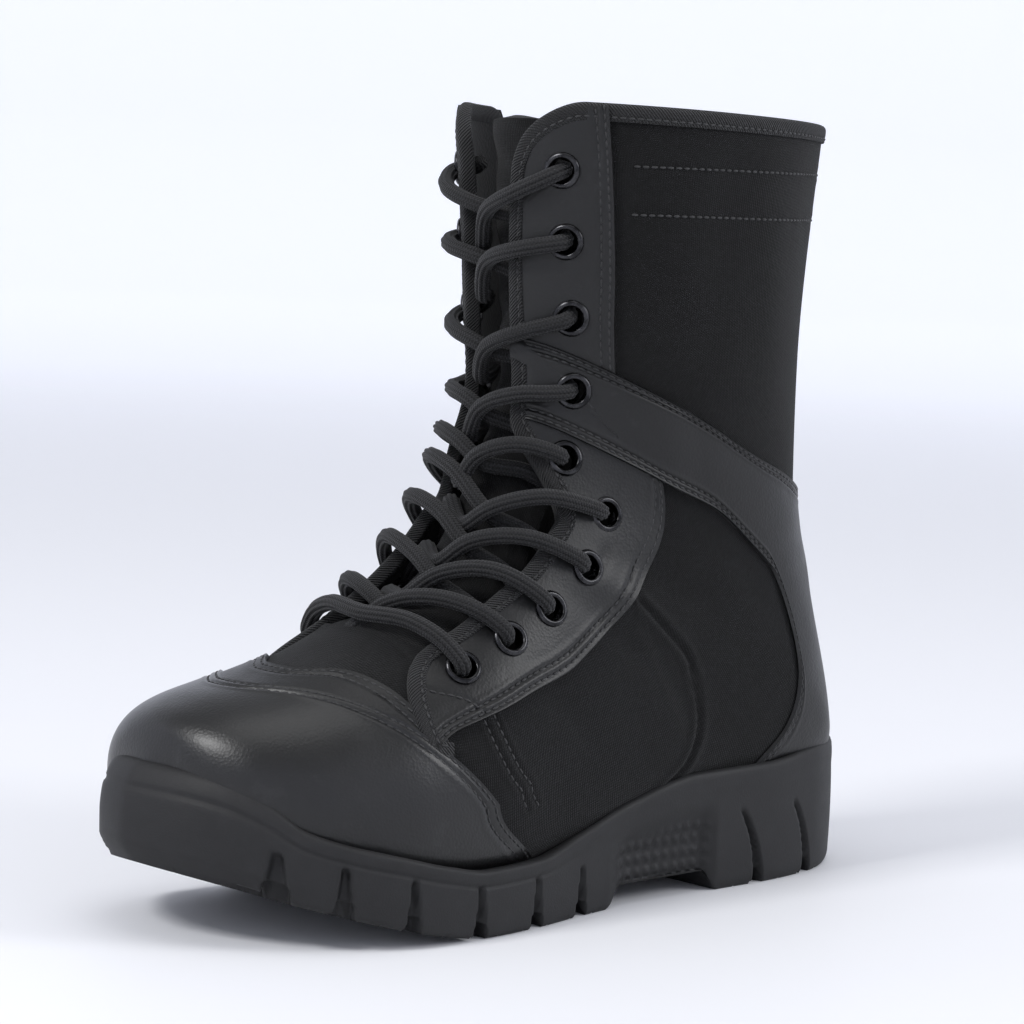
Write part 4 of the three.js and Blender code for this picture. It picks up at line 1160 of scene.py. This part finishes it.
def lace_half(side):
    points = []
    for i in reversed(range(len(crossing_rows))):
        side = -side
        points += lace_strand(i, side)
    end = eyelet_place(0, side)
    return points + [lace_point(end, end, 0, -WALL - 1.0),
                     lace_point(end, [end[0], 0], 0.2, UNDER - 0.3)]


def lace_bar():
    """Over the vamp, from the lowest inner eyelet to the lowest outer one."""
    middle = [0.345, 0.02]
    inner, outer = ([lace_point(end, middle, share, out) for share, out in (
        (0, TOP + 0.8), (0.2, OVER + 0.4), (0.5, OVER + 1))]
        for end in (eyelet_place(len(crossing_rows), side) for side in (-1, 1)))
    return inner + [lace_point(middle, middle, 0, OVER + 0.2)] + outer[::-1]


def smooth_path(points, step):
    """An even path through points, rounded where it turns."""
    points = np.array(points)
    before = np.concatenate([[2 * points[0] - points[1]], points[:-1]])
    after = np.concatenate([points[1:], [2 * points[-1] - points[-2]]])
    back = np.linalg.norm(points - before, axis=-1, keepdims=True)
    ahead = np.linalg.norm(after - points, axis=-1, keepdims=True)
    tangent = ((points - before) / back * ahead + (after - points) / ahead * back) / (back + ahead)
    out = []
    for k in range(len(points) - 1):
        size = np.linalg.norm(points[k + 1] - points[k])
        u = np.linspace(0, 1, max(4, int(size * 4)), endpoint=False)[:, None]
        out.append(bend(points[k], points[k + 1], tangent[k], tangent[k + 1], size, u))
    line = np.concatenate(out + [points[-1:]])
    run = run_of(line)
    line = soften(places_on(line, run, np.linspace(0, run[-1], int(run[-1] / 0.4) + 1)), 12, 5.0)
    run = run_of(line)
    return places_on(line, run, np.linspace(0, run[-1], int(run[-1] / step) + 1))


def tube_mesh(path, radius, around, ribs, depth):
    """A round cord along a path, with ribs along it and closed ends."""
    count = len(path)
    run = np.gradient(path, axis=0)
    run /= np.linalg.norm(run, axis=-1, keepdims=True)
    side = np.zeros_like(path)
    side[0] = np.cross(run[0], [0, 0, 1.0])
    side[0] /= np.linalg.norm(side[0])
    for k in range(1, count):
        turned = side[k - 1] - run[k] * np.dot(side[k - 1], run[k])
        side[k] = turned / np.linalg.norm(turned)
    up = np.cross(run, side)

    def place(s, w):
        k = np.rint(s * (count - 1)).astype(int)
        angle = 2 * np.pi * w
        size = radius * (1 + depth * (np.abs(np.cos(ribs * angle / 2)) - 0.6))
        return (path[k] + side[k] * (np.cos(angle) * size)[..., None]
                + up[k] * (np.sin(angle) * size)[..., None])

    def middle(points):
        """The nearest place on the path."""
        near = np.zeros(len(points), dtype=int)
        for start in range(0, len(points), 4000):
            part = points[start:start + 4000]
            far = np.sum((part[:, None] - path[None, ::4]) ** 2, axis=-1)
            near[start:start + 4000] = np.argmin(far, axis=1) * 4
        return path[near]
    return grid_mesh(place, count - 1, around, middle=middle, merge=True, caps=True)


route = lace_half(-1)[::-1] + lace_bar() + lace_half(1)
cord = tube_mesh(smooth_path(route, 1.0), LACE_RADIUS, LACE_SIDES, LACE_RIBS, 0.2)
place_mesh("lace", cord, CORD,
           replaces=["lace_bar"] + [f"lace_crossing_{n}" for n in range(1, 10)])

# Strap over the zip
strap_lift = curve_of([
    # v    above the upper's outside
    [0.270, TOP - 1.0], [0.300, TOP + GAP], [0.330, TOP + GAP + 0.3], [0.410, 5.9], [0.490, 5.9],
    [0.590, 1.0], [1.000, 0.8],
])


def strap_piece():
    def place(s, w):
        end = 0.985 - 0.05 * w
        v = 0.285 + (end - 0.285) * s
        z = INSTEP_HEIGHT + SHAFT_RISE * (STRAP_LOW + (STRAP_HIGH - STRAP_LOW) * w)
        edge = np.minimum(w, 1 - w) * STRAP_WIDTH
        tip = (1 - s) * (end - 0.285) * 180
        height = strap_lift(v)[..., 1] + STRAP_THICK + 0.5 * bell(edge - 0.6, 1.3)
        for away, distance in ((edge, 2.2), (tip, 3.0), (tip, 9.0)):
            height = height - 0.35 * bell(away - distance, 0.5)
        return skin(station_at(z, -v), -v, height)
    mesh = grid_mesh(place, 170, 28)
    add_wall(place_mesh("strap_leather", mesh, HIDE, replaces=["strap"]), 1.8, 0.6)
    for w in (2.2 / STRAP_WIDTH, 1 - 2.2 / STRAP_WIDTH):
        s = np.linspace(0.01, 0.97, 300)
        z = INSTEP_HEIGHT + SHAFT_RISE * (STRAP_LOW + (STRAP_HIGH - STRAP_LOW) * w)
        v = 0.285 + (0.985 - 0.05 * w - 0.285) * s
        seams.append((place(s, np.full_like(s, w)), outward(station_at(z + 0 * v, -v), -v)))


strap_piece()


# Zip
def zip_piece():
    def place(s, w):
        station = 0.694 + (0.968 - 0.694) * s
        v = zip_line(station)[..., 1]
        off = (w - 0.5) * ZIP_WIDTH
        per = np.linalg.norm(on_last(station, v + 0.02) - on_last(station, v - 0.02), axis=-1) / 0.04
        row = 0.5 + 0.5 * np.cos(2 * np.pi * s * ZIP_LENGTH / TOOTH_PITCH + np.where(off > 0, np.pi, 0))
        coil = ease((COIL_WIDTH / 2 - np.abs(off)) / 0.6)
        height = -0.7 + coil * (1.2 + 0.8 * row - 0.6 * bell(off, 0.3))
        return skin(station, v + off / per, height)
    mesh = grid_mesh(place, 720, 28)
    place_mesh("zip_tape_and_coil", mesh, TAPE, replaces=["zip"])


zip_piece()
for node in ("zip_slider", "zip_pull"):
    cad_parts[node].data.materials.clear()
    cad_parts[node].data.materials.append(ZIP_METAL)


# Stitches
def stitch_piece(name, lines, pitch=3.0, length=2.4, radius=0.48):
    """Short rounded threads along lines of points, each with its outward directions."""
    seed = bmesh.new()
    bmesh.ops.create_uvsphere(seed, u_segments=6, v_segments=4, radius=1.0)
    bmesh.ops.rotate(seed, verts=seed.verts, cent=(0, 0, 0),
                     matrix=Matrix.Rotation(math.pi / 2, 3, "Y"))
    stitch = bpy.data.meshes.new("stitch")
    seed.to_mesh(stitch)
    seed.free()
    form = bmesh.new()
    for points, normals in lines:
        run = run_of(points)
        for at in np.arange(pitch / 2, run[-1], pitch):
            p, a, b = (places_on(points, run, at + step) for step in (0, -0.6, 0.6))
            n = places_on(normals, run, at)
            x = (b - a) / (np.linalg.norm(b - a) + 1e-9)
            z = n - x * np.dot(n, x)
            z /= np.linalg.norm(z) + 1e-9
            y, p = np.cross(z, x), p + z * 0.16
            copy = stitch.copy()
            copy.transform(in_metres(x * (length / 2), y * radius, z * (radius * 0.8), p))
            form.from_mesh(copy)
            bpy.data.meshes.remove(copy)
    bpy.data.meshes.remove(stitch)
    place_mesh(name, form, THREAD)


stitch_piece("stitches", seams)

# Floor, light and camera
floor = spun([(0, 0), (3.2, 0), (4.2, 0.06), (4.9, 0.35), (5.3, 0.9), (5.5, 1.8), (5.5, 4)], 72,
             closed=False)
bmesh.ops.remove_doubles(floor, verts=floor.verts, dist=1e-4)
floor_mesh = bpy.data.meshes.new("floor")
floor.to_mesh(floor_mesh)
floor.free()
floor_mesh.shade_smooth()
floor_piece = bpy.data.objects.new("floor", floor_mesh)
bpy.context.scene.collection.objects.link(floor_piece)
pale = Finish("pale_floor", Roughness=0.6, Base_Color=(0.745, 0.75, 0.775, 1), Specular_IOR_Level=0.2,
              Emission_Strength=0.44)
reach = pale.node("ShaderNodeVectorMath", {"operation": "LENGTH"}, [pale.place(1.0)], 1)
pale.set("Emission Color", pale.mix(reach.band(0.5, 4.2), (0, 0, 0, 1), (0.80, 0.83, 0.93, 1)))
floor_mesh.materials.append(pale.material)


def soft_light(name, position, target, size, power):
    data = bpy.data.lights.new(name, "AREA")
    data.shape, data.size, data.energy = "SQUARE", size, power
    light = bpy.data.objects.new(name, data)
    light.location = position
    light.rotation_euler = (Vector(target) - Vector(position)).to_track_quat("-Z", "Y").to_euler()
    bpy.context.scene.collection.objects.link(light)


soft_light("key", (1.7, -0.1, 1.6), (0.1, 0, 0.1), 0.55, 27)
soft_light("side", (-1.1, 1.5, 1.2), (0.05, 0, 0.14), 0.8, 16)
soft_light("top", (0.1, 0.2, 2.4), (0.1, 0, 0.1), 1.4, 10)
world = bpy.data.worlds.new("studio")
bpy.context.scene.world = world
world.use_nodes = True
world.node_tree.nodes["Background"].inputs[0].default_value = (0.92, 0.94, 1.0, 1)
world.node_tree.nodes["Background"].inputs[1].default_value = 0.55
bpy.context.scene.view_settings.view_transform = "Standard"

camera_data = bpy.data.cameras.new("camera")
camera = bpy.data.objects.new("camera", camera_data)
bpy.context.scene.collection.objects.link(camera)
camera_data.sensor_width, camera_data.lens = 36, 118
camera.location = (0.8824, 0.8388, 0.2397)
aim = Vector((0.104, 0.0, 0.131)) - camera.location
camera.rotation_euler = (aim.to_track_quat("-Z", "Y").to_matrix().to_4x4()
                         @ Matrix.Rotation(math.radians(2.2), 4, "Z")).to_euler()
bpy.context.scene.camera = camera
